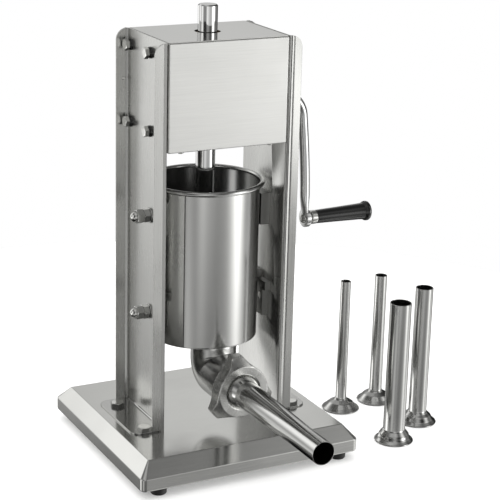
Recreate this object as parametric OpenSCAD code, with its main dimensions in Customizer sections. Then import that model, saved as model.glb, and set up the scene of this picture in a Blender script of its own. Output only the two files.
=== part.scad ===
// Hand-cranked vertical sausage stuffer with its set of loose stuffing tubes, in millimetres.
// The origin is on the floor, straight below the axis of the cylinder and of the rack rod.
// +X points to the crank, +Y to the back and +Z up.

/* [Base] */
// Width of the base pan
base_w = 308; // [300:1:320]
// Depth of the base pan
base_d = 296; // [290:1:304]
// Distance of the base pan's middle in front of the cylinder axis
base_shift = 7; // [4:1:10]
// Height of the base pan's flat top above the floor
base_top = 46.7; // [44:0.1:50]
// Height of the rubber feet
foot_h = 12; // [10:1:13]
// Height of the upright skirt of the pan
skirt_h = 17; // [14:1:18]
// Sheet thickness of the base pan
pan_t = 2; // [1.5:0.5:2]

/* [Uprights] */
// Distance of the uprights' outer web faces from the middle
web_x = 84.6; // [84.6:0.1:85]
// Sheet thickness of the uprights
web_t = 2; // [2:0.1:2.2]
// Front face of the uprights, in front of the cylinder axis
front_y = 64.6; // [64:0.1:66]
// Back face of the uprights, behind the cylinder axis
back_y = 56.8; // [56.5:0.1:58]
// Width of the uprights' flanges
flange_w = 16; // [14:0.5:17]
// Height of the head's top above the floor
head_top = 549.5; // [549:0.5:552]
// Height of the head's underside above the floor
head_bottom = 413; // [411:0.5:413]

/* [Drive] */
// Module of the rack and its pinion
rack_module = 2; // [2:0.1:2]
// Teeth of the rack pinion
rack_pinion_teeth = 16; // [16:1:16]
// Module of the reduction gears
gear_module = 1.5; // [1.5:0.1:1.5]
// Teeth of the large gear
large_gear_teeth = 36; // [36:1:36]
// Teeth of the small gear on the crank's shaft
small_gear_teeth = 16; // [16:1:16]
// Height of the crank's shaft above the floor
crank_z = 463.5; // [462:0.5:465]
// Distance of the crank's shaft in front of the rod's axis
crank_y = 10; // [9:0.5:10]

/* [Crank] */
// Length of the crank's arm
arm_len = 171; // [165:1:171]
// Thickness of the crank's round bar
arm_d = 13; // [11:0.5:14]
// Outward lean of the crank's arm, in degrees
arm_lean = 3.5; // [2:0.5:4]
// Length of the grip
grip_len = 82; // [76:1:88]

/* [Cylinder and piston] */
// Inner radius of the cylinder
bore_r = 70; // [69.5:0.1:70]
// Wall thickness of the cylinder
barrel_t = 1; // [1:0.1:1.2]
// Height of the cylinder's rim above the floor
rim_z = 359; // [355:1:362]
// Height of the cylinder's underside above the floor
barrel_low = 150.5; // [150:0.5:151]
// Radius of the rack rod
rod_r = 12.5; // [12.5:0.1:12.5]
// Height of the rod's top with the piston down
rod_top = 583.5; // [575:0.5:590]

/* [Outlet] */
// Height of the outlet's axis above the floor
outlet_z = 108.5; // [108:0.5:110]
// Distance of the elbow's upright stub in front of the cylinder axis
stub_y = 34; // [32:1:35]
// Outer radius of the elbow
elbow_r = 30; // [29:0.5:30]
// Length of the stuffing tube on the machine
tube_len = 208; // [180:1:220]
// Outer radius of that tube at its free end
tube_end_r = 14.6; // [12:0.1:15]

/* [Spare tubes] */
// Radius of the tubes' foot flanges
spare_flange_r = 26.4; // [26:0.1:26.4]
// Wall thickness of every stuffing tube
tube_t = 1; // [0.8:0.1:1]

/* [Hidden] */
$fn = 48;

// Radial gap of a running fit, and of a fixed part in its seat
run_fit = 0.06;
seat_fit = 0.05;

// Base pan
pan_low = foot_h;
skirt_top = pan_low + skirt_h;
pan_bevel_x = 15.5;
pan_bevel_y = 17.5;
pan_corner_r = 9;
pan_lip = 24;
foot_inset_x = 25;
foot_inset_y = 18;
foot_shift_x = 5;
foot_r = 10.5;

// Uprights
web_in = web_x - web_t;
flange_x = web_x + flange_w;
bend_r = 4;
flange_corner_r = 15;
tab_x = 126.5;
tab_corner_r = 14;
tab_bolt_x = 107;
tab_bolt_ys = [-54, 34];
head_bolt_ys = [-15, 45.5];
head_bolt_zs = [431.5, 530];
stud_y = -17;
stud_zs = [195.5, 323.5];
stud_r = 5;

// Head
cover_t = 1.5;
cover_x = web_in - 0.4;
cover_lip = 15;
lid_t = 2.2;
lid_gap = 0.5;
lid_hole_r = 16.5;
plate_t = 7.8;
plate_in = web_in - 0.2 - plate_t;
plate_front = -45;
lower_plate_front = -62.5;
plate_back = 54.3;
guide_t = 10;
guide_low = head_bottom + cover_t;
plate_top = head_top - lid_t;
inner_plate_x = 22;
inner_plate_t = 8;
cover_screw_x = 62;
cover_screw_y = -57.5;
back_screw_x = 91;
back_screw_z = 485.5;
frame_screw_ys = [-34, 8];

// Gears
pressure = 20;
rack_pitch = PI * rack_module;
rack_pinion_r = rack_module * rack_pinion_teeth / 2;
large_gear_r = gear_module * large_gear_teeth / 2;
small_gear_r = gear_module * small_gear_teeth / 2;
rack_line_y = 9;
main_y = rack_line_y + rack_pinion_r;
gear_dist = large_gear_r + small_gear_r;
main_z = crank_z + sqrt(gear_dist * gear_dist - pow(main_y + crank_y, 2));
mesh_angle = atan2(crank_z - main_z, -crank_y - main_y);
main_shaft_r = 8;
drive_shaft_r = 7;
rack_pinion_w = 18;
gear_x = 44;
gear_w = 10;
key_w = 5;
bush_wall = 3;
backlash = 0.35;
flank_steps = 6;

// Rod and piston
piston_low = 160;
piston_t = 12;
piston_gap = 0.6;
piston_boss_r = 22;
piston_boss_h = 10;
spigot_r = 10;
seal_low = 3;
seal_h = 6;
seal_depth = 4;
rack_low = 250;
rack_high = 497;
valve_x = 42;
valve_pin_r = 2.5;
valve_top = 190;

// Cylinder
barrel_r = bore_r + barrel_t;
bead_r = 3.2;
bottom_t = 1.5;
lug_z = 218;

// Outlet
elbow_t = 2;
bend_centre = elbow_r + 0.6;
elbow_end_y = 98;
collar_end_y = 117;
collar_r = 30.5;
collar_in_r = 26.5;
nut_back_y = 101.5;
nut_front_y = 122.5;
nut_lip = 2.6;
nut_body_r = 34;
nut_hole_r = 24;
ear_tip_r = 48.5;
ear_angles = [98, 218, 338];
flange_t = 1.8;
cone_len = 14;
tube_back_y = collar_end_y + 1;

// Crank
hub_x = 87.5;
hub_len = 22;
hub_r = 12;
arm_bend_r = 33.5;
arm_bend_x = 102;
eye_r = 12;
eye_t = 7;
eye_z = crank_z - arm_len;
arm_straight = (arm_len - arm_bend_r + arm_bend_r * sin(arm_lean)) / cos(arm_lean);
eye_right = 148.5;
eye_left = eye_right - eye_t;
spindle_r = 4;
ferrule_x = eye_right + 3.5;
grip_x = ferrule_x + 8;
grip_end = grip_x + grip_len;

// Centres of the spare tubes' feet on the floor, outer radii and lengths
spare_places = [[222, 5], [283, 11], [296, -79], [232, -120]];
spare_rs = [7.1, 8.5, 12, 14.4];
spare_lens = [189, 188, 196, 196];

// ---- Helpers ----

module both_sides() {
    children();
    mirror([1, 0, 0]) children();
}

// Stands a shape that is drawn upwards along +X, from the given point
module toward_x(x, y, z) {
    translate([x, y, z]) rotate([0, 90, 0]) children();
}

// Stands a shape that is drawn upwards along -Y, from the given distance in front
module toward_front(y, z) {
    translate([0, -y, z]) rotate([90, 0, 0]) children();
}

module hexagon(across_flats, h) {
    cylinder(h = h, r = across_flats / 2 / cos(30), $fn = 6);
}

module ring(outer_r, inner_r, h) {
    difference() {
        cylinder(h = h, r = outer_r);
        translate([0, 0, -1]) cylinder(h = h + 2, r = inner_r);
    }
}

module rounded_rect(w, d, r) {
    square([w - 2 * r, d], center = true);
    square([w, d - 2 * r], center = true);
    for (x = [-1, 1], y = [-1, 1]) {
        translate([x * (w / 2 - r), y * (d / 2 - r)]) circle(r);
    }
}

// Spur gear outline with involute flanks; a tooth's middle lies on +X
function involute(base_r, r) = tan(acos(base_r / r)) * 180 / PI - acos(base_r / r);

function gear_points(teeth, m) = [
    for (tooth = [0 : teeth - 1], side = [-1, 1], k = [0 : flank_steps])
        let (
            pitch_r = m * teeth / 2,
            base_r = pitch_r * cos(pressure),
            root_r = pitch_r - 1.2 * m,
            tip_r = pitch_r + 0.85 * m,
            step = side < 0 ? k : flank_steps - k,
            r = root_r + (tip_r - root_r) * step / flank_steps,
            pitch_half = 90 / teeth - backlash / 2 / pitch_r * 180 / PI,
            half = pitch_half + involute(base_r, pitch_r) - involute(base_r, max(r, base_r)),
            a = tooth * 360 / teeth + side * half
        )
        [r * cos(a), r * sin(a)]
];

// Gear blank standing across X with its axis at y, z
module gear(teeth, m, x, y, z, w, turn) {
    translate([x, y, z])
        rotate([90, 0, 90])
            rotate(turn)
                linear_extrude(height = w)
                    polygon(gear_points(teeth, m));
}

// Box of a feather key on top of a shaft
module key_box(x, y, z, shaft_r, len, gap) {
    translate([x - gap, y - key_w / 2 - gap, z + shaft_r - key_w / 2 - gap])
        cube([len + 2 * gap, key_w + 2 * gap, key_w - 0.4 + 2 * gap]);
}

// ---- Base ----

function pan_profile(half, bevel, t, low) = [
    [-half + t, low],
    [half - t, low],
    [half - t, skirt_top - 0.4 * t],
    [half - bevel - 0.45 * t, base_top - t],
    [-half + bevel + 0.45 * t, base_top - t],
    [-half + t, skirt_top - 0.4 * t]
];

// Two crossed profiles meet in mitred bevels, and a rounded outline rounds the corners
module pan_form(t, low) {
    translate([0, -base_shift, 0])
        intersection() {
            rotate([90, 0, 0])
                linear_extrude(height = base_d - 2 * t, center = true)
                    polygon(pan_profile(base_w / 2, pan_bevel_x, t, low));
            rotate([90, 0, 90])
                linear_extrude(height = base_w - 2 * t, center = true)
                    polygon(pan_profile(base_d / 2, pan_bevel_y, t, low));
            linear_extrude(height = base_top + 1)
                rounded_rect(base_w - 2 * t, base_d - 2 * t, pan_corner_r - t);
        }
}

module at_feet() {
    for (x = [-1, 1], y = [-1, 1]) {
        translate([
            x * (base_w / 2 - foot_inset_x) + foot_shift_x,
            y * (base_d / 2 - foot_inset_y) - base_shift,
            0
        ])
            children();
    }
}

module at_tab_bolts() {
    for (x = [-1, 1], y = tab_bolt_ys) {
        translate([x * tab_bolt_x, y, 0]) children();
    }
}

module base_pan() {
    color("silver")
        difference() {
            pan_form(0, pan_low);
            pan_form(pan_t, pan_low + pan_t);
            translate([0, -base_shift, 0])
                linear_extrude(height = pan_low + 2 * pan_t)
                    rounded_rect(base_w - 2 * pan_lip, base_d - 2 * pan_lip, pan_corner_r);
            at_feet() cylinder(h = pan_low + 2 * pan_t, r = 2.75);
            at_tab_bolts() translate([0, 0, base_top - 2 * pan_t]) cylinder(h = 3 * pan_t, r = 5.25);
        }
}

module rubber_feet() {
    color([0.08, 0.08, 0.08])
        at_feet()
            difference() {
                union() {
                    cylinder(h = 1.5, r1 = foot_r - 1.2, r2 = foot_r - 0.4);
                    translate([0, 0, 1.5]) cylinder(h = foot_h - 1.5, r1 = foot_r - 0.4, r2 = foot_r);
                }
                translate([0, 0, -1]) cylinder(h = 5, r = 5.5);
                cylinder(h = foot_h + 1, r = 2.75);
            }
}

module foot_screws() {
    color("silver")
        at_feet() {
            translate([0, 0, 1.4]) cylinder(h = 2.6, r = 4.6);
            translate([0, 0, 4]) cylinder(h = foot_h + 5, r = 2.5);
        }
}

module foot_screw_nuts() {
    color("silver")
        at_feet()
            translate([0, 0, pan_low + pan_t])
                difference() {
                    hexagon(8, 4);
                    translate([0, 0, -1]) cylinder(h = 6, r = 2.5 + seat_fit);
                }
}

// ---- Uprights ----

// Channel that is open away from the machine, with rounded bends
module channel_section() {
    depth = front_y + back_y;
    far = 60;
    intersection() {
        translate([web_in, -front_y]) square([flange_x - web_in, depth]);
        difference() {
            translate([web_in + far, (back_y - front_y) / 2]) rounded_rect(2 * far, depth, bend_r);
            translate([web_x + far, (back_y - front_y) / 2])
                rounded_rect(2 * far, depth - 2 * web_t, bend_r - web_t);
        }
    }
}

module tab_section() {
    depth = front_y + back_y;
    intersection() {
        translate([web_x, -front_y]) square([tab_x - web_x, depth]);
        translate([web_x, (back_y - front_y) / 2])
            rounded_rect(2 * (tab_x - web_x), depth, tab_corner_r);
    }
}

module upright() {
    difference() {
        union() {
            translate([0, 0, base_top]) linear_extrude(height = head_top - base_top) channel_section();
            translate([0, 0, base_top]) linear_extrude(height = web_t) tab_section();
        }
        // rounded upper corners of the flanges
        translate([flange_x - flange_corner_r, 0, head_top - flange_corner_r])
            difference() {
                translate([0, -100, 0]) cube([2 * flange_corner_r, 200, 2 * flange_corner_r]);
                rotate([90, 0, 0]) cylinder(h = 202, r = flange_corner_r, center = true);
            }
        for (y = head_bolt_ys, z = head_bolt_zs) {
            toward_x(web_in - 1, y, z) cylinder(h = web_t + 2, r = 4.5);
        }
        for (z = stud_zs) {
            toward_x(web_in - 1, stud_y, z) cylinder(h = web_t + 2, r = stud_r + 0.3);
        }
        for (y = tab_bolt_ys) {
            translate([tab_bolt_x, y, base_top - 1]) cylinder(h = web_t + 2, r = 5.25);
        }
        translate([back_screw_x, back_y + 1, back_screw_z])
            rotate([90, 0, 0])
                cylinder(h = web_t + 2, r = 2.2);
    }
}

module left_upright() {
    color("lightgray") mirror([1, 0, 0]) upright();
}

module right_upright() {
    color("lightgray")
        difference() {
            upright();
            toward_x(web_in - 1, -crank_y, crank_z)
                cylinder(h = web_t + 2, r = drive_shaft_r + bush_wall + 0.2);
        }
}

module upright_bolts() {
    color("silver")
        at_tab_bolts() {
            translate([0, 0, base_top + web_t]) hexagon(17, 4.8);
            translate([0, 0, base_top - 14]) cylinder(h = 14 + web_t, r = 5);
        }
}

// Washers and nuts of the foot tabs sit under the pan's flat top
module upright_washers() {
    color("silver")
        at_tab_bolts()
            translate([0, 0, base_top - pan_t - 2]) ring(10, 5.25, 2);
}

module upright_nuts() {
    color("silver")
        at_tab_bolts()
            translate([0, 0, base_top - pan_t - 10])
                difference() {
                    hexagon(17, 8);
                    translate([0, 0, -1]) cylinder(h = 10, r = 5 + seat_fit);
                }
}

// ---- Head ----

module head_front_cover() {
    color("gainsboro")
        difference() {
            union() {
                translate([-cover_x, -front_y, head_bottom])
                    cube([2 * cover_x, cover_t, plate_top - lid_gap - head_bottom]);
                translate([-cover_x, -front_y, head_bottom])
                    cube([2 * cover_x, front_y + plate_back, cover_t]);
                translate([-cover_x, -front_y, plate_top - lid_gap - cover_t])
                    cube([2 * cover_x, cover_lip, cover_t]);
                both_sides()
                    translate([cover_x - cover_t, -front_y, head_bottom])
                        cube([cover_t, cover_lip, plate_top - lid_gap - head_bottom]);
            }
            translate([0, 0, head_bottom - 1]) cylinder(h = cover_t + 2, r = rod_r + 2);
            both_sides()
                translate([cover_screw_x, cover_screw_y, head_bottom - 1])
                    cylinder(h = cover_t + 2, r = 2.2);
        }
}

module head_top_plate() {
    color("lightgray")
        difference() {
            translate([-web_in + 0.3, -front_y, plate_top])
                cube([2 * (web_in - 0.3), front_y + back_y, lid_t]);
            translate([0, 0, plate_top - 1]) cylinder(h = lid_t + 2, r = lid_hole_r);
        }
}

module head_back_cover() {
    color("silver")
        difference() {
            translate([0, back_y + cover_t, (head_bottom + head_top) / 2])
                rotate([90, 0, 0])
                    linear_extrude(height = cover_t)
                        rounded_rect(2 * (flange_x - 1), head_top - head_bottom - 1, flange_corner_r);
            both_sides()
                translate([back_screw_x, back_y - 1, back_screw_z])
                    rotate([-90, 0, 0])
                        cylinder(h = cover_t + 2, r = 2.2);
        }
}

module cover_screws() {
    color("silver")
        both_sides() {
            translate([cover_screw_x, cover_screw_y, head_bottom - 2.6]) cylinder(h = 2.6, r = 3.8);
            translate([cover_screw_x, cover_screw_y, head_bottom]) cylinder(h = 9, r = 2);
            translate([back_screw_x, back_y + cover_t, back_screw_z])
                rotate([-90, 0, 0])
                    cylinder(h = 2.6, r = 3.8);
            translate([back_screw_x, back_y + cover_t, back_screw_z])
                rotate([90, 0, 0])
                    cylinder(h = 5, r = 2);
        }
}

// Thick plate inside the web of the right upright
module bearing_plate(bush_r) {
    difference() {
        translate([plate_in, plate_front, guide_low])
            cube([plate_t, plate_back - plate_front, plate_top - guide_low]);
        for (y = head_bolt_ys, z = head_bolt_zs) {
            toward_x(plate_in - 1, y, z) cylinder(h = plate_t + 2, r = 4 + seat_fit);
        }
        toward_x(plate_in - 1, main_y, main_z)
            cylinder(h = plate_t + 2, r = main_shaft_r + bush_wall + seat_fit);
        if (bush_r > 0) {
            toward_x(plate_in - 1, -crank_y, crank_z) cylinder(h = plate_t + 2, r = bush_r);
        }
        at_frame_screws() {
            cylinder(h = plate_t + 2, r = 2.2);
            translate([0, 0, plate_t - 2.4]) cylinder(h = 2.5, r1 = 2.2, r2 = 4.3);
        }
    }
}

// Places on the inner face of the right bearing plate, facing outwards
module at_frame_screws() {
    for (y = frame_screw_ys, z = [guide_low + guide_t / 2, plate_top - guide_t / 2]) {
        toward_x(plate_in, y, z) children();
    }
}

module left_bearing_plate() {
    color("dimgray") mirror([1, 0, 0]) bearing_plate(0);
}

module right_bearing_plate() {
    color("dimgray") bearing_plate(drive_shaft_r + bush_wall + seat_fit);
}

module inner_bearing_plate() {
    color("dimgray")
        difference() {
            translate([inner_plate_x, -28, guide_low + guide_t])
                cube([inner_plate_t, 76, plate_top - guide_low - 2 * guide_t]);
            toward_x(inner_plate_x - 1, main_y, main_z)
                cylinder(h = inner_plate_t + 2, r = main_shaft_r + bush_wall + seat_fit);
            toward_x(inner_plate_x - 1, -crank_y, crank_z)
                cylinder(h = inner_plate_t + 2, r = drive_shaft_r + bush_wall + seat_fit);
        }
}

module guide_plate(z, front) {
    difference() {
        translate([-plate_in, front, z]) cube([2 * plate_in, plate_back - front, guide_t]);
        translate([0, 0, z - 1]) cylinder(h = guide_t + 2, r = rod_r + bush_wall + seat_fit);
        both_sides()
            for (y = frame_screw_ys) {
                toward_x(plate_in - 14, y, z + guide_t / 2) cylinder(h = 16, r = 2 + seat_fit);
            }
        both_sides()
            translate([cover_screw_x, cover_screw_y, guide_low - 1]) cylinder(h = 9, r = 2 + seat_fit);
    }
}

module lower_guide_plate() {
    color("dimgray") guide_plate(guide_low, lower_plate_front);
}

module upper_guide_plate() {
    color("dimgray") guide_plate(plate_top - guide_t, plate_front);
}

module frame_screws() {
    color("gray")
        both_sides()
            at_frame_screws() {
                translate([0, 0, -13]) cylinder(h = 13 + plate_t - 2.4, r = 2);
                translate([0, 0, plate_t - 2.4]) cylinder(h = 2.2, r1 = 2, r2 = 4);
            }
}

module rod_guide_bushes() {
    color("darkgoldenrod")
        for (z = [guide_low, plate_top - guide_t]) {
            translate([0, 0, z]) ring(rod_r + bush_wall, rod_r + run_fit, guide_t);
        }
}

// Stack on each head bolt, from the web outwards: flat washer, spring washer, hexagon head
module at_head_bolts(x) {
    both_sides()
        for (y = head_bolt_ys, z = head_bolt_zs) {
            toward_x(web_x + x, y, z) children();
        }
}

module head_flat_washers() {
    color("silver") at_head_bolts(0) ring(7.3, 4.3, 1.6);
}

module head_spring_washers() {
    color("silver")
        at_head_bolts(1.6)
            difference() {
                ring(6.4, 4.2, 2.2);
                // the split
                translate([2, -0.5, -1]) cube([6, 1, 5]);
            }
}

module head_bolts() {
    color("silver")
        at_head_bolts(3.8) {
            hexagon(13, 5.3);
            translate([0, 0, -16]) cylinder(h = 16, r = 4);
        }
}

// ---- Drive ----

// Bush in a bearing plate, with a collar on the plate's inner side
module flanged_bush(x, y, z, shaft_r, len) {
    toward_x(x - 2, y, z) {
        ring(shaft_r + bush_wall, shaft_r + run_fit, len + 2);
        ring(shaft_r + bush_wall + 2, shaft_r + bush_wall, 2);
    }
}

module main_shaft_bushes() {
    color("darkgoldenrod") {
        both_sides() flanged_bush(plate_in, main_y, main_z, main_shaft_r, plate_t);
        toward_x(inner_plate_x, main_y, main_z)
            ring(main_shaft_r + bush_wall, main_shaft_r + run_fit, inner_plate_t);
    }
}

module drive_shaft_bushes() {
    color("darkgoldenrod") {
        flanged_bush(plate_in, -crank_y, crank_z, drive_shaft_r, plate_t + 3);
        toward_x(inner_plate_x, -crank_y, crank_z)
            ring(drive_shaft_r + bush_wall, drive_shaft_r + run_fit, inner_plate_t);
    }
}

module main_shaft() {
    shaft_end = plate_in + plate_t - 1;
    color("silver")
        difference() {
            toward_x(-shaft_end, main_y, main_z) cylinder(h = 2 * shaft_end, r = main_shaft_r);
            key_box(-rack_pinion_w / 2, main_y, main_z, main_shaft_r, rack_pinion_w, seat_fit);
            key_box(gear_x, main_y, main_z, main_shaft_r, gear_w, seat_fit);
        }
}

module main_shaft_keys() {
    color("gray") {
        key_box(-rack_pinion_w / 2, main_y, main_z, main_shaft_r, rack_pinion_w, 0);
        key_box(gear_x, main_y, main_z, main_shaft_r, gear_w, 0);
    }
}

module rack_pinion() {
    color("gray")
        difference() {
            gear(rack_pinion_teeth, rack_module, -rack_pinion_w / 2, main_y, main_z, rack_pinion_w, 0);
            toward_x(-rack_pinion_w, main_y, main_z)
                cylinder(h = 2 * rack_pinion_w, r = main_shaft_r + seat_fit);
            key_box(-rack_pinion_w, main_y, main_z, main_shaft_r, 2 * rack_pinion_w, seat_fit);
        }
}

module large_gear() {
    color("gray")
        difference() {
            union() {
                gear(large_gear_teeth, gear_module, gear_x, main_y, main_z, gear_w, mesh_angle);
                toward_x(gear_x + gear_w, main_y, main_z) cylinder(h = 7, r = 14);
            }
            toward_x(gear_x - 1, main_y, main_z) cylinder(h = 20, r = main_shaft_r + seat_fit);
            key_box(gear_x - 1, main_y, main_z, main_shaft_r, 20, seat_fit);
        }
}

module drive_shaft() {
    color("silver")
        difference() {
            toward_x(inner_plate_x - 2, -crank_y, crank_z)
                cylinder(h = hub_x + hub_len - 3 - inner_plate_x + 2, r = drive_shaft_r);
            key_box(gear_x, -crank_y, crank_z, drive_shaft_r - 0.5, gear_w, seat_fit);
        }
}

module drive_shaft_key() {
    color("gray") key_box(gear_x, -crank_y, crank_z, drive_shaft_r - 0.5, gear_w, 0);
}

module small_gear() {
    color("gray")
        difference() {
            gear(small_gear_teeth, gear_module, gear_x - 1, -crank_y, crank_z, gear_w + 2,
                mesh_angle + 180 + 180 / small_gear_teeth);
            toward_x(gear_x - 2, -crank_y, crank_z) cylinder(h = 20, r = drive_shaft_r + seat_fit);
            key_box(gear_x - 2, -crank_y, crank_z, drive_shaft_r - 0.5, 20, seat_fit);
        }
}

// ---- Crank ----

module crank_arm() {
    color("silver")
        difference() {
            union() {
                toward_x(hub_x, -crank_y, crank_z) cylinder(h = hub_len, r = hub_r);
                // the bar leaves the hub, bends down and leans outwards to the eye
                translate([arm_bend_x, -crank_y, crank_z - arm_bend_r])
                    rotate([90, -arm_lean, 0]) {
                        rotate_extrude(angle = 90 - arm_lean)
                            translate([arm_bend_r, 0])
                                circle(arm_d / 2);
                        translate([arm_bend_r, 0, 0])
                            rotate([90, 0, 0])
                                cylinder(h = arm_straight - 5, r = arm_d / 2);
                    }
                toward_x(eye_left, -crank_y, eye_z) cylinder(h = eye_t, r = eye_r);
            }
            // the bar is forged flat around the eye
            translate([eye_right, -crank_y - 20, eye_z - 20]) cube([20, 40, 34]);
            translate([eye_left - 20, -crank_y - 20, eye_z - 20]) cube([20, 40, 34]);
            toward_x(eye_left - 1, -crank_y, eye_z) cylinder(h = eye_t + 2, r = spindle_r + seat_fit);
            toward_x(hub_x - 1, -crank_y, crank_z) cylinder(h = hub_len - 2, r = drive_shaft_r + seat_fit);
            translate([hub_x + 9, -crank_y, crank_z]) cylinder(h = hub_r + 1, r = 3 + seat_fit);
        }
}

module crank_set_screw() {
    color("gray")
        translate([hub_x + 9, -crank_y, crank_z + drive_shaft_r + seat_fit])
            difference() {
                cylinder(h = hub_r - drive_shaft_r - 0.4, r = 3);
                translate([0, 0, 2.2]) hexagon(3, 4);
            }
}

module grip_spindle() {
    color("silver")
        toward_x(0, -crank_y, eye_z) {
            // riveted end behind the eye
            translate([0, 0, eye_left - 3.2]) cylinder(h = 1.2, r1 = 5.4, r2 = 6.6);
            translate([0, 0, eye_left - 2]) cylinder(h = 2, r = 6.6);
            translate([0, 0, eye_left]) cylinder(h = grip_end - 4 - eye_left, r = spindle_r);
            // shoulder between the eye and the ferrule
            translate([0, 0, eye_right]) cylinder(h = ferrule_x - eye_right - 0.3, r = 7.2);
        }
}

module spindle_nut() {
    color("silver")
        toward_x(grip_end - 8.6, -crank_y, eye_z)
            difference() {
                hexagon(11, 4);
                translate([0, 0, -1]) cylinder(h = 6, r = spindle_r + seat_fit);
            }
}

module grip_ferrule() {
    color("silver")
        toward_x(ferrule_x, -crank_y, eye_z)
            ring(9.2, spindle_r + run_fit, grip_x - ferrule_x);
}

// Tapered grip with a rounded end flange and a recess for the spindle's nut
module crank_grip() {
    color([0.05, 0.05, 0.05])
        toward_x(grip_x, -crank_y, eye_z)
            difference() {
                rotate_extrude()
                    difference() {
                        union() {
                            polygon([
                                [0, 0], [8.6, 0], [8.9, 1],
                                [11.2, grip_len - 9], [11.2, grip_len], [0, grip_len]
                            ]);
                            translate([10.4, grip_len - 4]) circle(3);
                        }
                        translate([-20, -20]) square([20, 2 * grip_len]);
                    }
                translate([0, 0, -1]) cylinder(h = grip_len + 2, r = spindle_r + run_fit);
                translate([0, 0, grip_len - 9]) cylinder(h = 10, r = 8);
            }
}

// ---- Rod and piston ----

// Region that is cut from the back of the rod to leave the rack's teeth, in Y and Z
function rack_points(low, high) = [
    [rod_r + 2, low],
    for (i = [floor((low - main_z) / rack_pitch) + 1 : floor((high - main_z) / rack_pitch) - 1])
        let (
            z = main_z + (i + 0.5) * rack_pitch,
            half = rack_pitch / 4 - backlash / 2,
            slope = tan(pressure),
            tip = 0.8 * rack_module,
            root = 1.15 * rack_module
        )
        each [
            [rack_line_y - root, z - half - root * slope],
            [rack_line_y + tip, z - half + tip * slope],
            [rack_line_y + tip, z + half - tip * slope],
            [rack_line_y - root, z + half + root * slope]
        ],
    [rod_r + 2, high]
];

module rack_rod() {
    rod_low = piston_low + piston_t + piston_boss_h;
    color("silver")
        difference() {
            union() {
                translate([0, 0, rod_low]) cylinder(h = rod_top - 1.5 - rod_low, r = rod_r);
                translate([0, 0, rod_top - 1.5]) cylinder(h = 1.5, r1 = rod_r, r2 = rod_r - 1.5);
                translate([0, 0, piston_low + 4]) cylinder(h = rod_low - piston_low - 4, r = spigot_r);
            }
            rotate([90, 0, 90])
                linear_extrude(height = 3 * rod_r, center = true)
                    polygon(rack_points(rack_low, rack_high));
            translate([0, 0, piston_low]) cylinder(h = 24, r = 4 + seat_fit);
        }
}

module piston_plate() {
    plate_r = bore_r - piston_gap;
    color("gainsboro")
        translate([0, 0, piston_low])
            difference() {
                union() {
                    cylinder(h = piston_t, r = plate_r);
                    cylinder(h = piston_t + piston_boss_h, r = piston_boss_r);
                }
                translate([0, 0, seal_low]) ring(plate_r + 1, plate_r - seal_depth, seal_h);
                translate([0, 0, 4]) cylinder(h = 40, r = spigot_r + seat_fit);
                translate([0, 0, -1]) cylinder(h = 8, r = 4.3);
                translate([0, 0, -0.01]) cylinder(h = 3.7, r1 = 8, r2 = 4.3);
                translate([valve_x, 0, -1]) cylinder(h = piston_t + 2, r = 5 + seat_fit);
            }
}

module piston_seal() {
    color("whitesmoke")
        translate([0, 0, piston_low + seal_low + 0.1])
            ring(bore_r - run_fit, bore_r - piston_gap - seal_depth + 0.1, seal_h - 0.2);
}

module piston_screw() {
    color("silver")
        translate([0, 0, piston_low + 0.2]) {
            cylinder(h = 3.2, r1 = 7.4, r2 = 4);
            translate([0, 0, 3.2]) cylinder(h = 18, r = 4);
        }
}

module valve_body() {
    color("silver")
        translate([valve_x, 0, piston_low])
            difference() {
                union() {
                    cylinder(h = piston_t, r = 5);
                    translate([0, 0, piston_t]) hexagon(14, 5);
                }
                translate([0, 0, -1]) cylinder(h = 30, r = valve_pin_r + run_fit);
            }
}

module valve_pin() {
    color("silver")
        translate([valve_x, 0, 0]) {
            translate([0, 0, piston_low - 1.5]) cylinder(h = 1.5, r = 4.5);
            translate([0, 0, piston_low]) cylinder(h = valve_top - piston_low, r = valve_pin_r);
            translate([0, 0, valve_top - 3]) cylinder(h = 3, r = 5.5);
        }
}

module valve_spring() {
    spring_low = piston_low + piston_t + 5;
    color("dimgray")
        translate([valve_x, 0, spring_low])
            linear_extrude(height = valve_top - 3 - spring_low, twist = -1440, slices = 96)
                translate([3.9, 0]) circle(0.7, $fn = 8);
}

// ---- Cylinder ----

module cylinder_barrel() {
    color("silver")
        rotate_extrude()
            union() {
                translate([bore_r, barrel_low]) square([barrel_t, rim_z - barrel_low]);
                // rolled rim
                translate([barrel_r + bead_r - 0.2, rim_z - bead_r + 1])
                    difference() {
                        circle(bead_r);
                        circle(bead_r - barrel_t);
                    }
            }
}

module cylinder_bottom() {
    color("silver")
        translate([0, 0, barrel_low])
            difference() {
                cylinder(h = bottom_t, r = bore_r - seat_fit);
                translate([0, -stub_y, -1]) cylinder(h = bottom_t + 2, r = elbow_r - elbow_t);
            }
}

// Blocks welded to the barrel that hang it on the cradles
module cylinder_lugs() {
    color("silver")
        both_sides()
            difference() {
                translate([barrel_r - 4, -12, lug_z]) cube([13, 24, 12]);
                translate([0, 0, lug_z - 1]) cylinder(h = 14, r = barrel_r + 0.02);
            }
}

module lower_cradles() {
    color("gray")
        both_sides()
            difference() {
                union() {
                    translate([web_in - 8.1, -33, lug_z - 12]) cube([8.1, 47, 12]);
                    translate([web_in - 8.1, -26, lug_z - 48]) cube([8.1, 20, 37]);
                }
                toward_x(web_in - 10, stud_y, stud_zs[0]) cylinder(h = 12, r = stud_r + seat_fit);
            }
}

module upper_stops() {
    color("gray")
        both_sides()
            difference() {
                translate([web_in - 13, -25, stud_zs[1] - 28]) cube([13, 36, 42]);
                translate([0, 0, stud_zs[1] - 30]) cylinder(h = 50, r = barrel_r + 0.5);
                toward_x(web_in - 20, stud_y, stud_zs[1]) cylinder(h = 22, r = stud_r + seat_fit);
            }
}

module at_studs(x) {
    both_sides()
        for (z = stud_zs) {
            toward_x(x, stud_y, z) children();
        }
}

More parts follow.
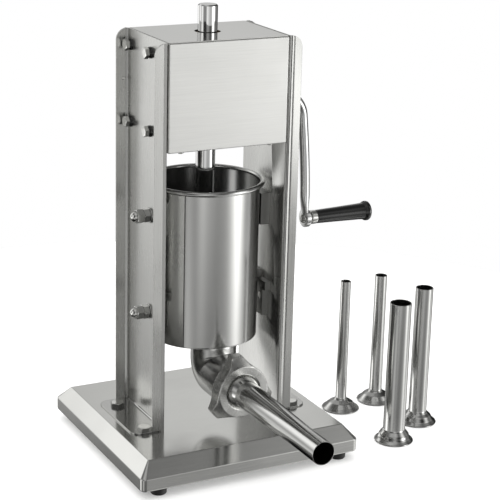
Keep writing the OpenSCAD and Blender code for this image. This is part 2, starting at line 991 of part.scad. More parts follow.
module support_studs() {
    color("silver") at_studs(web_in - 7.5) cylinder(h = 29, r = stud_r);
}

// Flat washer, hexagon nut and domed cap nut on each stud
module stud_hardware() {
    color("silver")
        at_studs(web_x) {
            ring(10, stud_r + 0.3, 2);
            translate([0, 0, 2.1])
                difference() {
                    hexagon(16, 8);
                    translate([0, 0, -1]) cylinder(h = 10, r = stud_r + seat_fit);
                }
            translate([0, 0, 10.2])
                difference() {
                    union() {
                        hexagon(16, 9);
                        translate([0, 0, 9]) sphere(7.6);
                    }
                    translate([0, 0, -10]) cylinder(h = 20, r = stud_r + seat_fit);
                    translate([0, 0, -10]) cylinder(h = 10, r = 12);
                }
        }
}

// ---- Outlet ----

// Upright stub, quarter bend and level stub, all with the same wall
module outlet_elbow() {
    color("silver") {
        translate([0, -stub_y, outlet_z + bend_centre])
            ring(elbow_r, elbow_r - elbow_t, barrel_low - outlet_z - bend_centre);
        translate([0, -stub_y - bend_centre, outlet_z + bend_centre])
            rotate([0, 90, 0])
                rotate_extrude(angle = 90)
                    translate([bend_centre, 0])
                        difference() {
                            circle(elbow_r);
                            circle(elbow_r - elbow_t);
                        }
        toward_front(stub_y + bend_centre, outlet_z)
            ring(elbow_r, elbow_r - elbow_t, elbow_end_y - stub_y - bend_centre);
    }
}

module threaded_collar() {
    color("silver")
        toward_front(elbow_end_y, outlet_z) ring(collar_r, collar_in_r, collar_end_y - elbow_end_y);
}

module ear_section() {
    polygon([
        [28, -16.5], [33, -14.5], [38, -10.8], [43, -8.8], [ear_tip_r, -8],
        [ear_tip_r, 8], [43, 8.8], [38, 10.8], [33, 14.5], [28, 16.5]
    ]);
}

module wing_nut() {
    body_len = nut_front_y - nut_back_y;
    color("silver")
        toward_front(nut_back_y, outlet_z)
            difference() {
                union() {
                    cylinder(h = body_len, r = nut_body_r);
                    for (a = ear_angles) {
                        rotate(a) translate([0, 0, 1]) linear_extrude(height = 13) ear_section();
                    }
                }
                translate([0, 0, -1]) cylinder(h = body_len - nut_lip + 1, r = collar_r + run_fit);
                cylinder(h = body_len + 1, r = nut_hole_r);
            }
}

// Tube that tapers from a conical foot with a flange, standing on its flange
module stuffing_tube_form(root_r, end_r, len, foot_r, straight) {
    root_z = cone_len + flange_t;
    neck_r = nut_hole_r - 1.5;
    rotate_extrude()
        polygon([
            [neck_r - tube_t, 0], [foot_r, 0], [foot_r, flange_t], [neck_r, flange_t],
            [root_r, root_z], [end_r, len - straight], [end_r, len],
            [end_r - tube_t, len], [end_r - tube_t, len - straight], [root_r - tube_t, root_z]
        ]);
}

module stuffing_tube() {
    color("silver")
        toward_front(tube_back_y, outlet_z)
            stuffing_tube_form(17, tube_end_r, tube_len, spare_flange_r, 40);
}

module spare_tube(i) {
    color("silver")
        translate([spare_places[i][0], spare_places[i][1], 0])
            stuffing_tube_form(spare_rs[i] + 0.4, spare_rs[i], spare_lens[i], spare_flange_r, 40);
}

module spare_tube_14() {
    spare_tube(0);
}

module spare_tube_17() {
    spare_tube(1);
}

module spare_tube_24() {
    spare_tube(2);
}

module spare_tube_29() {
    spare_tube(3);
}

base_pan();
rubber_feet();
foot_screws();
foot_screw_nuts();
left_upright();
right_upright();
upright_bolts();
upright_washers();
upright_nuts();
head_front_cover();
head_top_plate();
head_back_cover();
cover_screws();
left_bearing_plate();
right_bearing_plate();
inner_bearing_plate();
lower_guide_plate();
upper_guide_plate();
frame_screws();
rod_guide_bushes();
head_bolts();
head_spring_washers();
head_flat_washers();
main_shaft_bushes();
drive_shaft_bushes();
main_shaft();
rack_pinion();
large_gear();
main_shaft_keys();
drive_shaft();
small_gear();
drive_shaft_key();
crank_arm();
crank_set_screw();
grip_spindle();
spindle_nut();
grip_ferrule();
crank_grip();
rack_rod();
piston_plate();
piston_seal();
piston_screw();
valve_body();
valve_pin();
valve_spring();
cylinder_barrel();
cylinder_bottom();
cylinder_lugs();
outlet_elbow();
threaded_collar();
lower_cradles();
upper_stops();
support_studs();
stud_hardware();
wing_nut();
stuffing_tube();
spare_tube_14();
spare_tube_17();
spare_tube_24();
spare_tube_29();
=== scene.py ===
import math

import bmesh
import bpy
from mathutils import Matrix, Vector


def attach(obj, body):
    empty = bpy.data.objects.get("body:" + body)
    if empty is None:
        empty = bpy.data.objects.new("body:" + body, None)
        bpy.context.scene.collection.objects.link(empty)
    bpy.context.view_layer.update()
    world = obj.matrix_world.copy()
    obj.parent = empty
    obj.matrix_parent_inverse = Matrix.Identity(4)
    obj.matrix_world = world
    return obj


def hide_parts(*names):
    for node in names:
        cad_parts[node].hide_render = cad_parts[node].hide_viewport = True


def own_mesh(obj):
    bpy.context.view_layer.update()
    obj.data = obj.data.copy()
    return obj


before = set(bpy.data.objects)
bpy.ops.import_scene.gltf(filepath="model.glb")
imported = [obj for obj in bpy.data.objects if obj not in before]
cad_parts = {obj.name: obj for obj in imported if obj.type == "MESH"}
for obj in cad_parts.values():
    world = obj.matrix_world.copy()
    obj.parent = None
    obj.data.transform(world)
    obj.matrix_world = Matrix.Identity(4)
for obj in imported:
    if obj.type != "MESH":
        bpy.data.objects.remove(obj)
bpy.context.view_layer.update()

# ---- Sizes in millimetres, as in the CAD model ----

BASE_TOP = 46.7
PAN_LOW = 12.0
SKIRT_TOP = 29.0
BASE_Y = -7.0
BASE_HALF = (154.0, 148.0)
BEVEL = (15.5, 17.5)
FEET_X = (-124.0, 134.0)
FEET_Y = (-137.0, 123.0)

WEB_X = 84.6
WEB_T = 2.0
FRONT_Y = -64.6
BACK_Y = 56.8
FLANGE_X = 100.6
TAB_X = 126.5
TAB_TOP = BASE_TOP + 2.0
FLANGE_CORNER = 15.0
HEAD_TOP = 549.5
HEAD_LOW = 413.0

CRANK_Y = -10.0
CRANK_Z = 463.5
EYE_Z = 292.5

OUTLET_Z = 108.5
STUB_Y = -34.0
RIM_Z = 359.0
BARREL_LOW = 150.5
BARREL_R = 71.0

# ---- Mesh helpers: a shape is (vertices in mm, faces) ----


def fillet(points, radii, closed=True, steps=4):
    """A polyline in the plane with each corner rounded by its radius."""
    count = len(points)
    made = []
    for i, point in enumerate(points):
        radius = radii[i] if isinstance(radii, (list, tuple)) else radii
        if radius <= 0 or (not closed and i in (0, count - 1)):
            made.append(tuple(point))
            continue
        here = Vector(point)
        to_last = Vector(points[i - 1]) - here
        to_next = Vector(points[(i + 1) % count]) - here
        a, b = to_last.normalized(), to_next.normalized()
        angle = a.angle(b)
        if angle > math.radians(178):
            made.append(tuple(point))
            continue
        # two roundings on one edge never meet
        reach = min(radius / math.tan(angle / 2), 0.49 * to_last.length, 0.49 * to_next.length)
        radius = reach * math.tan(angle / 2)
        centre = here + (a + b).normalized() * radius / math.sin(angle / 2)
        first = here + a * reach - centre
        last = here + b * reach - centre
        sweep = first.angle_signed(last)
        for k in range(steps + 1):
            turned = first.copy()
            turned.rotate(Matrix.Rotation(-sweep * k / steps, 2))
            made.append(tuple(centre + turned))
    return made


def angles(count):
    """Even steps round a full turn."""
    return [2 * math.pi * k / count for k in range(count)]


def quarter(steps):
    """Even steps through a quarter turn, with both its ends."""
    return [math.pi / 2 * k / steps for k in range(steps + 1)]


def polar(radius, angle, *height):
    """A point at a radius and an angle, and at a height where one is given."""
    return (radius * math.cos(angle), radius * math.sin(angle), *height)


def lathe(profile, sides=96, closed=False):
    """Turns a profile of (radius, height) round Z."""
    verts, faces, rings = [], [], []
    for r, z in profile:
        if r < 1e-6:
            rings.append([len(verts)] * sides)
            verts.append((0.0, 0.0, z))
            continue
        rings.append(list(range(len(verts), len(verts) + sides)))
        verts += [polar(r, a, z) for a in angles(sides)]
    pairs = list(zip(rings, rings[1:]))
    if closed:
        pairs.append((rings[-1], rings[0]))
    for low, high in pairs:
        for k in range(sides):
            face = [low[k], low[(k + 1) % sides], high[(k + 1) % sides], high[k]]
            face = list(dict.fromkeys(face))
            if len(face) > 2:
                faces.append(face)
    return verts, faces


def loft(loops, caps=(True, True), ends_meet=False):
    """Joins loops of equally many points, one after the other."""
    n = len(loops[0])
    verts = [tuple(p) for loop in loops for p in loop]
    faces = []
    rows = list(range(len(loops)))
    pairs = list(zip(rows, rows[1:]))
    if ends_meet:
        pairs.append((rows[-1], rows[0]))
    for a, b in pairs:
        for k in range(n):
            m = (k + 1) % n
            faces.append([a * n + k, a * n + m, b * n + m, b * n + k])
    if caps[0]:
        faces.append(list(range(n))[::-1])
    if caps[1]:
        faces.append([rows[-1] * n + k for k in range(n)])
    return verts, faces


def inset(outline, distance):
    """Moves a plane outline inwards (outline runs anticlockwise)."""
    made = []
    count = len(outline)
    for i in range(count):
        here = Vector(outline[i])
        a = (here - Vector(outline[i - 1])).normalized()
        b = (Vector(outline[(i + 1) % count]) - here).normalized()
        normal = Vector((-(a + b).y, (a + b).x)).normalized()
        lean = max(0.4, normal.dot(Vector((-a.y, a.x))))
        made.append(tuple(here + normal * distance / lean))
    return made


def slab(outline, low, high, edge=0.4, steps=3):
    """A plate with rounded edges, drawn by its plane outline."""
    loops = []
    for a in quarter(steps):
        ring = inset(outline, edge * (1 - math.sin(a)))
        loops.append([(x, y, low + edge * (1 - math.cos(a))) for x, y in ring])
    for a in quarter(steps):
        ring = inset(outline, edge * (1 - math.cos(a)))
        loops.append([(x, y, high - edge * (1 - math.sin(a))) for x, y in ring])
    return loft(loops)


def rectangle(width, depth, corner, y=0.0, steps=6):
    """A rounded rectangle whose middle is on x = 0."""
    w, back, front = width / 2, y + depth / 2, y - depth / 2
    return fillet([(w, back), (-w, back), (-w, front), (w, front)], corner, steps=steps)


def hex_head(flats, low, high, chamfer_low=False):
    """A hexagon head or nut whose corners are turned off at about 30 degrees."""
    slope = math.tan(math.radians(28))
    soft = 0.25
    rim = flats / 2 * 0.97
    turns = angles(72)
    reach = [flats / 2 / math.cos((a + math.pi / 6) % (math.pi / 3) - math.pi / 6) for a in turns]
    cut = [max(0.0, (r - rim) * slope) for r in reach]
    if chamfer_low:
        loops = [[polar(rim, a, low) for a in turns]]
        loops.append([polar(r, a, low + c) for a, r, c in zip(turns, reach, cut)])
    else:
        loops = [[polar(r - soft, a, low) for a, r in zip(turns, reach)]]
        loops.append([polar(r, a, low + soft) for a, r in zip(turns, reach)])
    loops.append([polar(r, a, high - c) for a, r, c in zip(turns, reach, cut)])
    for r, drop in ((rim, 0.0), (rim - 0.5, 0.0), (rim - 1.1, 0.22), (rim * 0.5, 0.26)):
        loops.append([polar(r, a, high - drop) for a in turns])
    return loft(loops)


def sweep(path, sections):
    """A section (list of (u, v)) carried along a path; sections holds one per path point."""
    loops = []
    side = Vector((0, 1, 0))
    for i, p in enumerate(path):
        ahead = Vector(path[min(i + 1, len(path) - 1)]) - Vector(path[max(i - 1, 0)])
        ahead.normalize()
        up = side.cross(ahead).normalized()
        loops.append([Vector(p) + side * v + up * u for u, v in sections[i]])
    return loft(loops)


def along_x(x, y, z, side=1, turn=0.0):
    """Stands a shape drawn along +Z along +X, or along -X where side is -1."""
    stand = Matrix.Rotation(side * math.pi / 2, 4, "Y")
    return Matrix.Translation((x, y, z)) @ stand @ Matrix.Rotation(turn, 4, "Z")


def to_front(y, x=0.0, z=OUTLET_Z):
    """Stands a shape drawn along +Z along -Y, on the outlet's axis unless told otherwise."""
    return Matrix.Translation((x, y, z)) @ Matrix.Rotation(math.pi / 2, 4, "X")


def at(x, y, z, turn=0.0):
    return Matrix.Translation((x, y, z)) @ Matrix.Rotation(turn, 4, "Z")


def hole_edges(work, radius, place):
    """Adds a round hole's edges to a bmesh; place puts its plane points in space."""
    ring = [work.verts.new(place(*polar(radius, a))) for a in angles(48)]
    return [work.edges.new((ring[k], ring[(k + 1) % 48])) for k in range(48)]


def shape_of(work):
    """Takes the shape out of a bmesh, and frees it."""
    work.verts.index_update()
    verts = [tuple(v.co) for v in work.verts]
    faces = [[v.index for v in f.verts] for f in work.faces]
    work.free()
    return verts, faces


MIRROR = Matrix.Diagonal((-1, 1, 1, 1))


def in_scene(name, data):
    made = bpy.data.objects.new(name, data)
    bpy.context.scene.collection.objects.link(made)
    return made


def flatten(piece):
    """Keeps large flat faces flat, so that bends shade as tight radii."""
    normals = piece.modifiers.new("normals", "WEIGHTED_NORMAL")
    normals.keep_sharp = True
    normals.weight = 80


class Part:
    """Collects shapes into one object."""

    def __init__(self):
        self.verts = []
        self.faces = []

    def add(self, shape, matrix=None):
        verts, faces = shape
        start = len(self.verts)
        for v in verts:
            p = Vector(v)
            self.verts.append(matrix @ p if matrix is not None else p)
        self.faces.extend([i + start for i in face] for face in faces)
        return self

    def object(self, name, material, body, slot, replaced=(), sharp=38, bevel=0.0, thickness=0.0):
        """Makes the piece; sharp is an angle in degrees, bevel and thickness are in mm."""
        mesh = bpy.data.meshes.new(name)
        mesh.from_pydata([v * 0.001 for v in self.verts], [], self.faces)
        mesh.validate()
        work = bmesh.new()
        work.from_mesh(mesh)
        bmesh.ops.remove_doubles(work, verts=work.verts, dist=1e-6)
        bmesh.ops.recalc_face_normals(work, faces=work.faces)
        work.to_mesh(mesh)
        work.free()
        piece = in_scene(name, mesh)
        if thickness:
            solid = piece.modifiers.new("sheet", "SOLIDIFY")
            solid.thickness = thickness * 0.001
            solid.offset = -1
        if bevel:
            edge = piece.modifiers.new("edges", "BEVEL")
            edge.width = bevel * 0.001
            edge.segments = 2
            edge.limit_method = "ANGLE"
            edge.angle_limit = math.radians(50)
        mesh.shade_smooth()
        mesh.set_sharp_from_angle(angle=math.radians(sharp))
        mesh.materials.append(material)
        flatten(piece)
        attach(piece, body)
        if replaced:
            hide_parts(*replaced)
        return piece


# ---- Materials ----


def new_node(tree, kind, **settings):
    made = tree.nodes.new(kind)
    for key, value in settings.items():
        setattr(made, key, value)
    return made


class Nodes:
    """A small builder for procedural node materials."""

    def __init__(self, name):
        self.material = bpy.data.materials.new(name)
        self.material.use_nodes = True
        self.tree = self.material.node_tree
        self.shader = self.tree.nodes["Principled BSDF"]
        self.where = self.add("ShaderNodeTexCoord").outputs["Object"]

    def add(self, kind, **settings):
        return new_node(self.tree, kind, **settings)

    def link(self, a, b):
        self.tree.links.new(a, b)

    def stretched(self, scale):
        mapping = self.add("ShaderNodeMapping")
        mapping.inputs["Scale"].default_value = scale
        self.link(self.where, mapping.inputs["Vector"])
        return mapping.outputs["Vector"]

    def noise(self, scale, detail=3.0, rough=0.55, vector=None):
        made = self.add("ShaderNodeTexNoise")
        made.inputs["Scale"].default_value = scale
        made.inputs["Detail"].default_value = detail
        made.inputs["Roughness"].default_value = rough
        self.link(vector if vector is not None else self.where, made.inputs["Vector"])
        return made.outputs["Fac"]

    def spread(self, value, low, high, first=0.3, last=0.7):
        made = self.add("ShaderNodeMapRange")
        made.inputs["From Min"].default_value = first
        made.inputs["From Max"].default_value = last
        made.inputs["To Min"].default_value = low
        made.inputs["To Max"].default_value = high
        self.link(value, made.inputs["Value"])
        return made.outputs["Result"]

    def total(self, a, b, kind="ADD"):
        made = self.add("ShaderNodeMath", operation=kind)
        self.link(a, made.inputs[0])
        if hasattr(b, "is_output"):
            self.link(b, made.inputs[1])
        else:
            made.inputs[1].default_value = b
        return made.outputs["Value"]

    def ramp(self, value, *stops):
        made = self.add("ShaderNodeValToRGB")
        bar = made.color_ramp
        while len(bar.elements) < len(stops):
            bar.elements.new(0.5)
        for element, (place, colour) in zip(bar.elements, stops):
            element.position = place
            element.color = (*colour, 1)
        self.link(value, made.inputs["Fac"])
        return made.outputs["Color"]

    def finish(self, colour, rough, bump=None, strength=0.1, depth=0.0002, soften=0.0, **values):
        """Links the maps to the shader; soften is an edge radius in mm for the Bevel node."""
        self.link(colour, self.shader.inputs["Base Color"])
        self.link(rough, self.shader.inputs["Roughness"])
        for key, value in values.items():
            self.shader.inputs[key.replace("_", " ")].default_value = value
        normal = None
        if soften:
            rounding = self.add("ShaderNodeBevel")
            rounding.samples = 4
            rounding.inputs["Radius"].default_value = soften * 0.001
            normal = rounding.outputs["Normal"]
        if bump is not None:
            made = self.add("ShaderNodeBump")
            made.inputs["Strength"].default_value = strength
            made.inputs["Distance"].default_value = depth
            self.link(bump, made.inputs["Height"])
            if normal is not None:
                self.link(normal, made.inputs["Normal"])
            normal = made.outputs["Normal"]
        if normal is not None:
            self.link(normal, self.shader.inputs["Normal"])
        return self.material


def brushed(name, tone, rough, spread, grain, grain_bump, smudge=0.05, soften=0.0):
    """Metal brushed along one direction; grain is how fast the noise changes in X, Y and Z."""
    n = Nodes(name)
    lines = n.noise(1.0, 4.0, 0.7, n.stretched(grain))
    fine = n.noise(1.0, 3.0, 0.6, n.stretched([g * 3.1 for g in grain]))
    cloud = n.noise(9.0, 3.0, 0.6)
    both = n.total(lines, fine)
    roughness = n.spread(both, rough - spread, rough + spread, 0.7, 1.3)
    handled = n.spread(cloud, -smudge, smudge, 0.35, 0.7)
    dark = tuple(c * 0.95 for c in tone)
    light = tuple(min(1, c * 1.03) for c in tone)
    colour = n.ramp(n.total(both, 0.5, "MULTIPLY"), (0.36, dark), (0.64, light))
    return n.finish(colour, n.total(roughness, handled), both, grain_bump, 0.00008, soften, Metallic=1.0)


def polished(name, tone, rough, smudge, scratch, soften, grain):
    """Mirror-like steel with faint polishing lines and handling marks."""
    n = Nodes(name)
    lines = n.noise(1.0, 3.0, 0.6, n.stretched(grain))
    cloud = n.noise(14.0, 4.0, 0.6)
    handled = n.spread(cloud, rough - smudge * 0.5, rough + smudge, 0.35, 0.75)
    roughness = n.total(handled, n.spread(lines, 0, 0.02))
    dark = tuple(c * 0.95 for c in tone)
    colour = n.ramp(cloud, (0.3, dark), (0.7, tone))
    return n.finish(colour, roughness, lines, scratch, 0.00005, soften, Metallic=1.0)


SHEET_TONE = (0.66, 0.66, 0.645)
sheet_upright = brushed("sheet_upright", SHEET_TONE, 0.28, 0.03, (500, 500, 8), 0.012)
sheet_head = brushed("sheet_head", (0.77, 0.77, 0.755), 0.40, 0.03, (8, 500, 500), 0.012)
sheet_pan = brushed("sheet_pan", SHEET_TONE, 0.17, 0.02, (8, 400, 400), 0.01)
sheet_lid = brushed("sheet_lid", (0.73, 0.73, 0.715), 0.14, 0.02, (8, 400, 400), 0.01)
sheet_tab = brushed("sheet_tab", (0.56, 0.56, 0.55), 0.17, 0.02, (400, 8, 400), 0.01)
barrel_steel = polished("barrel_steel", (0.66, 0.66, 0.65), 0.17, 0.02, 0.02, 0.0, (260, 260, 5))
tube_steel = polished("tube_steel", (0.68, 0.68, 0.67), 0.13, 0.02, 0.02, 0.0, (260, 30, 260))
spare_steel = polished("spare_steel", (0.66, 0.66, 0.65), 0.15, 0.02, 0.02, 0.0, (260, 260, 12))
elbow_steel = polished("elbow_steel", (0.60, 0.60, 0.59), 0.20, 0.04, 0.04, 0.0, (90, 90, 90))
# The inner wall is the barrel's steel in a darker tone: painted shade for the dim inside of the open
# cylinder.
bore_steel_painted_shade = polished("bore_steel_painted_shade", (0.52, 0.52, 0.51), 0.16, 0.02, 0.02, 0.0, (260, 260, 5))
weld_steel = polished("weld_steel", (0.16, 0.16, 0.155), 0.35, 0.05, 0.1, 0.0, (300, 300, 300))
rod_chrome = polished("rod_chrome", (0.80, 0.80, 0.80), 0.05, 0.02, 0.01, 0.3, (300, 300, 10))
crank_chrome = polished("crank_chrome", (0.80, 0.80, 0.80), 0.14, 0.04, 0.03, 0.0, (120, 120, 120))
bright_steel = polished("bright_steel", (0.74, 0.74, 0.72), 0.14, 0.05, 0.05, 0.0, (300, 300, 300))
dark_steel = brushed("dark_steel", (0.34, 0.34, 0.33), 0.34, 0.08, (160, 160, 160), 0.05, 0.06, 0.5)
black_zinc = brushed("black_zinc", (0.13, 0.13, 0.13), 0.22, 0.06, (160, 160, 160), 0.05, 0.06, 0.3)
nut_steel = polished("nut_steel", (0.58, 0.58, 0.57), 0.16, 0.05, 0.05, 0.0, (300, 300, 300))
machined = brushed("machined", (0.46, 0.46, 0.45), 0.28, 0.08, (900, 60, 60), 0.08, 0.05, 0.2)


def cast_metal():
    n = Nodes("cast_metal")
    grain = n.noise(900.0, 2.0, 0.5)
    cloud = n.noise(60.0, 4.0, 0.6)
    colour = n.ramp(cloud, (0.3, (0.56, 0.56, 0.545)), (0.7, (0.66, 0.66, 0.645)))
    rough = n.total(n.spread(cloud, 0.20, 0.30), n.spread(grain, 0.0, 0.05))
    return n.finish(colour, rough, n.total(grain, cloud), 0.12, 0.00015, Metallic=1.0)


def painted_plate():
    n = Nodes("painted_plate")
    orange = n.noise(700.0, 2.0, 0.5)
    cloud = n.noise(30.0, 4.0, 0.6)
    colour = n.ramp(cloud, (0.3, (0.10, 0.10, 0.105)), (0.7, (0.17, 0.17, 0.175)))
    return n.finish(colour, n.spread(cloud, 0.35, 0.5), orange, 0.15, 0.0002, 0.6, Metallic=0.0)


def bronze_metal():
    n = Nodes("bronze_metal")
    rings = n.noise(1.0, 3.0, 0.6, n.stretched((80, 500, 500)))
    cloud = n.noise(50.0, 3.0, 0.6)
    colour = n.ramp(cloud, (0.3, (0.42, 0.27, 0.11)), (0.7, (0.60, 0.42, 0.20)))
    return n.finish(colour, n.spread(rings, 0.22, 0.38), rings, 0.08, 0.0001, 0.3, Metallic=1.0)


def moulded_rubber(name, tone, low, high, grain=500.0, strength=0.3):
    n = Nodes(name)
    pores = n.noise(grain, 3.0, 0.6)
    cloud = n.noise(40.0, 3.0, 0.6)
    dark = tuple(c * 0.7 for c in tone)
    colour = n.ramp(cloud, (0.3, dark), (0.75, tone))
    return n.finish(colour, n.spread(cloud, low, high), pores, strength, 0.0003, 0.0, Metallic=0.0)


def grip_plastic():
    n = Nodes("grip_plastic")
    flow = n.noise(1.0, 3.0, 0.6, n.stretched((40, 260, 260)))
    cloud = n.noise(35.0, 4.0, 0.6)
    colour = n.ramp(cloud, (0.3, (0.006, 0.006, 0.006)), (0.75, (0.014, 0.014, 0.014)))
    rough = n.spread(flow, 0.16, 0.26)
    gloss = {"Metallic": 0.0, "Coat_Weight": 0.6, "Coat_Roughness": 0.12}
    return n.finish(colour, rough, flow, 0.06, 0.0002, 0.0, **gloss)


cast = cast_metal()
plate_paint = painted_plate()
bronze = bronze_metal()
foot_rubber = moulded_rubber("foot_rubber", (0.022, 0.022, 0.022), 0.45, 0.65)
seal_silicone = moulded_rubber("seal_silicone", (0.80, 0.80, 0.77), 0.35, 0.5, 300.0, 0.1)
grip_black = grip_plastic()

# ---- Base pan and feet ----


def base_pan():
    """Lip under the skirt, skirt, bevel and flat top; the corners get sharper towards the top."""
    slope, skirt_corner, top_corner = 16.5, 7.0, 1.6
    # the profile is (inset, height) with one bevel width, and the loops give each side its own
    corners = [(24.0, PAN_LOW), (0.0, PAN_LOW), (0.0, SKIRT_TOP), (slope, BASE_TOP), (60.0, BASE_TOP)]
    loops = []
    for inset_by, z in fillet(corners, [0, 2.0, 1.8, 1.6, 0], closed=False, steps=5):
        up = min(1.0, max(0.0, (z - SKIRT_TOP) / (BASE_TOP - SKIRT_TOP)))
        shares = [width / slope if z > SKIRT_TOP else 1.0 for width in BEVEL]
        half_x, half_y = [half - inset_by * share for half, share in zip(BASE_HALF, shares)]
        corner = skirt_corner * (1 - up) + top_corner * up
        loops.append([(x, y, z) for x, y in rectangle(2 * half_x, 2 * half_y, corner, BASE_Y, 7)])
    return loft(loops, caps=(False, True))


Part().add(base_pan()).object(
    "base_pan_sheet", sheet_pan, "frame", "stainless_sheet", ["base_pan"], sharp=30, thickness=2.0, bevel=0.25
)

foot_profile = [(0, 3.6), (4.6, 3.6), (5.4, 3.0), (5.4, 0), (9.3, 0), (10.4, 1.4), (10.5, 11.9), (0, 11.9)]
foot_profile = fillet(foot_profile, [0, 0.3, 0.3, 0.5, 0.6, 0.8, 0.4, 0], closed=False)
feet = Part()
for x in FEET_X:
    for y in FEET_Y:
        feet.add(lathe(foot_profile, 64), at(x, y, 0))
feet.object("rubber_foot_pads", foot_rubber, "frame", "rubber_black", ["rubber_feet"])

# ---- Uprights ----


def channel_surface(hole):
    """Convex skin of the right upright, from the free edge of one flange to the other's."""
    skin_x = WEB_X - WEB_T
    corners = [(FLANGE_X, FRONT_Y), (skin_x, FRONT_Y), (skin_x, BACK_Y), (FLANGE_X, BACK_Y)]
    bend = fillet(corners, [0, 4.0, 4.0, 0], closed=False, steps=6)
    xs = [FLANGE_X - FLANGE_CORNER * (1 - math.cos(a)) for a in quarter(8)]
    line = [(x, FRONT_Y) for x in xs] + bend[1:-1] + [(x, BACK_Y) for x in reversed(xs)]

    def top(x):
        over = x - (FLANGE_X - FLANGE_CORNER)
        if over <= 0:
            return HEAD_TOP
        return HEAD_TOP - FLANGE_CORNER + math.sqrt(max(0.0, FLANGE_CORNER ** 2 - over * over))

    work = bmesh.new()
    low = [work.verts.new((x, y, BASE_TOP)) for x, y in line]
    high = [work.verts.new((x, y, top(x))) for x, y in line]
    for i in range(len(line) - 1):
        # fillet() works in 32-bit vectors, so its points are only good to about 0.00001
        straight = abs(line[i][0] - skin_x) < 0.001 and abs(line[i + 1][0] - skin_x) < 0.001
        if straight and hole:
            edges = [work.edges.new(pair) for pair in ((low[i], low[i + 1]), (high[i], high[i + 1]))]
            edges.append(work.edges.get((low[i], high[i])) or work.edges.new((low[i], high[i])))
            edges.append(work.edges.new((low[i + 1], high[i + 1])))
            edges += hole_edges(work, hole, lambda u, v: (skin_x, CRANK_Y + u, CRANK_Z + v))
            filled = bmesh.ops.triangle_fill(work, edges=edges, use_beauty=True)["geom"]
            # the fill also closes the hole, so the faces inside it go again
            centre = Vector((skin_x, CRANK_Y, CRANK_Z))
            faces = [f for f in filled if isinstance(f, bmesh.types.BMFace)]
            inside = [f for f in faces if (f.calc_center_median() - centre).length < hole * 0.99]
            bmesh.ops.delete(work, geom=inside, context="FACES_ONLY")
        else:
            work.faces.new((low[i], low[i + 1], high[i + 1], high[i]))
    return shape_of(work)


def tab_plate():
    outline = [(WEB_X, FRONT_Y), (TAB_X, FRONT_Y), (TAB_X, BACK_Y), (WEB_X, BACK_Y)]
    return slab(fillet(outline, [0.3, 14, 14, 0.3], steps=8), BASE_TOP, TAB_TOP, 0.45)


def tab_bend():
    """The inner radius where the web turns outwards into the tab."""
    r = 3.0
    arc = [(WEB_X + r - r * math.cos(a), TAB_TOP + r - r * math.sin(a)) for a in quarter(6)]
    deep_x, deep_z = WEB_X - 0.5, BASE_TOP + 1.0
    section = [(deep_x, TAB_TOP + r)] + arc + [(WEB_X + r, deep_z), (deep_x, deep_z)]
    return loft([[(x, y, z) for x, z in section] for y in (FRONT_Y + 2.1, BACK_Y - 2.1)])


for name, side, hole in (("left", MIRROR, 0), ("right", None, 10.2)):
    shell = Part().add(channel_surface(hole), side)
    shell.object(
        name + "_upright_sheet", sheet_upright, "frame", "stainless_sheet", [name + "_upright"],
        sharp=35, bevel=0.35, thickness=WEB_T,
    )
    foot = Part().add(tab_plate(), side).add(tab_bend(), side)
    foot.object(name + "_upright_tab", sheet_tab, "frame", "stainless_sheet")

# ---- Fasteners ----

TAB_BOLTS = [(x, y) for x in (-107.0, 107.0) for y in (-54.0, 34.0)]
HEAD_BOLTS = [(y, z) for y in (-15.0, 45.5) for z in (431.5, 530.0)]
STUDS = [195.5, 323.5]
STUD_Y = -17.0


def washer(inner, outer, h, edge=0.25):
    return lathe(fillet([(inner, 0), (outer, 0), (outer, h), (inner, h)], edge, steps=3), 72, closed=True)


def spring_washer(inner, outer, h, rise):
    """A split washer whose ends stand apart by a gap and a rise."""
    sides = 60
    gap = math.radians(14)
    loops = []
    for k in range(sides + 1):
        a = gap / 2 + (2 * math.pi - gap) * k / sides
        z = rise * (k / sides - 0.5)
        section = fillet([(inner, z), (outer, z), (outer, z + h), (inner, z + h)], 0.25, steps=2)
        loops.append([polar(r, a, w) for r, w in section])
    return loft(loops)


def on_web(side, y, z, turn=0.0, out=0.0):
    """Stands a shape on the left (-1) or right (1) upright's web, as far out as told."""
    return along_x(side * (WEB_X + out), y, z, side, turn)


# the foot tabs' bolts are each turned differently
tab_bolts = Part()
shank_low, shank_top = BASE_TOP - 14, BASE_TOP + 2.2
tab_shank = [(0, shank_low), (5, shank_low), (5, shank_top), (0, shank_top)]
tab_shank = fillet(tab_shank, [0, 0.8, 0, 0], closed=False)
for i, (x, y) in enumerate(TAB_BOLTS):
    tab_bolts.add(hex_head(17.0, TAB_TOP, BASE_TOP + 6.8), at(x, y, 0, 0.3 + 0.5 * i))
    tab_bolts.add(lathe(tab_shank, 48), at(x, y, 0))
tab_bolts.object("foot_tab_bolts", bright_steel, "frame", "fastener_steel", ["upright_bolts"])

flats, springs, heads = Part(), Part(), Part()
head_shank = lathe([(0, -12.2), (3.5, -12.2), (4, -11.7), (4, 4.0)], 40)
for side in (-1, 1):
    for k, (y, z) in enumerate(HEAD_BOLTS):
        flats.add(washer(4.3, 7.3, 1.6), on_web(side, y, z))
        springs.add(spring_washer(4.2, 6.5, 1.6, 0.6), on_web(side, y, z, 0.9 * k + 0.4, 1.9))
        heads.add(hex_head(13.0, 3.9, 9.1), on_web(side, y, z, 0.35 + 0.45 * k))
        heads.add(head_shank, on_web(side, y, z))
flats.object("head_bolt_flat_washers", black_zinc, "frame", "fastener_steel", ["head_flat_washers"])
springs.object("head_bolt_spring_washers", black_zinc, "frame", "fastener_steel", ["head_spring_washers"])
heads.object("head_hex_bolts", bright_steel, "frame", "fastener_steel", ["head_bolts"])


def cap_dome():
    """The dome of a cap nut, which ends in one point; it is drawn in brighter steel than the nut's hexagon, a
    painted highlight.
    """
    radius, low = 7.3, 19.0
    dome = [(radius * math.cos(a), low + radius * math.sin(a)) for a in quarter(14)]
    dome[-1] = (0.0, dome[-1][1])
    return lathe([(radius, 17.5)] + dome, 64)


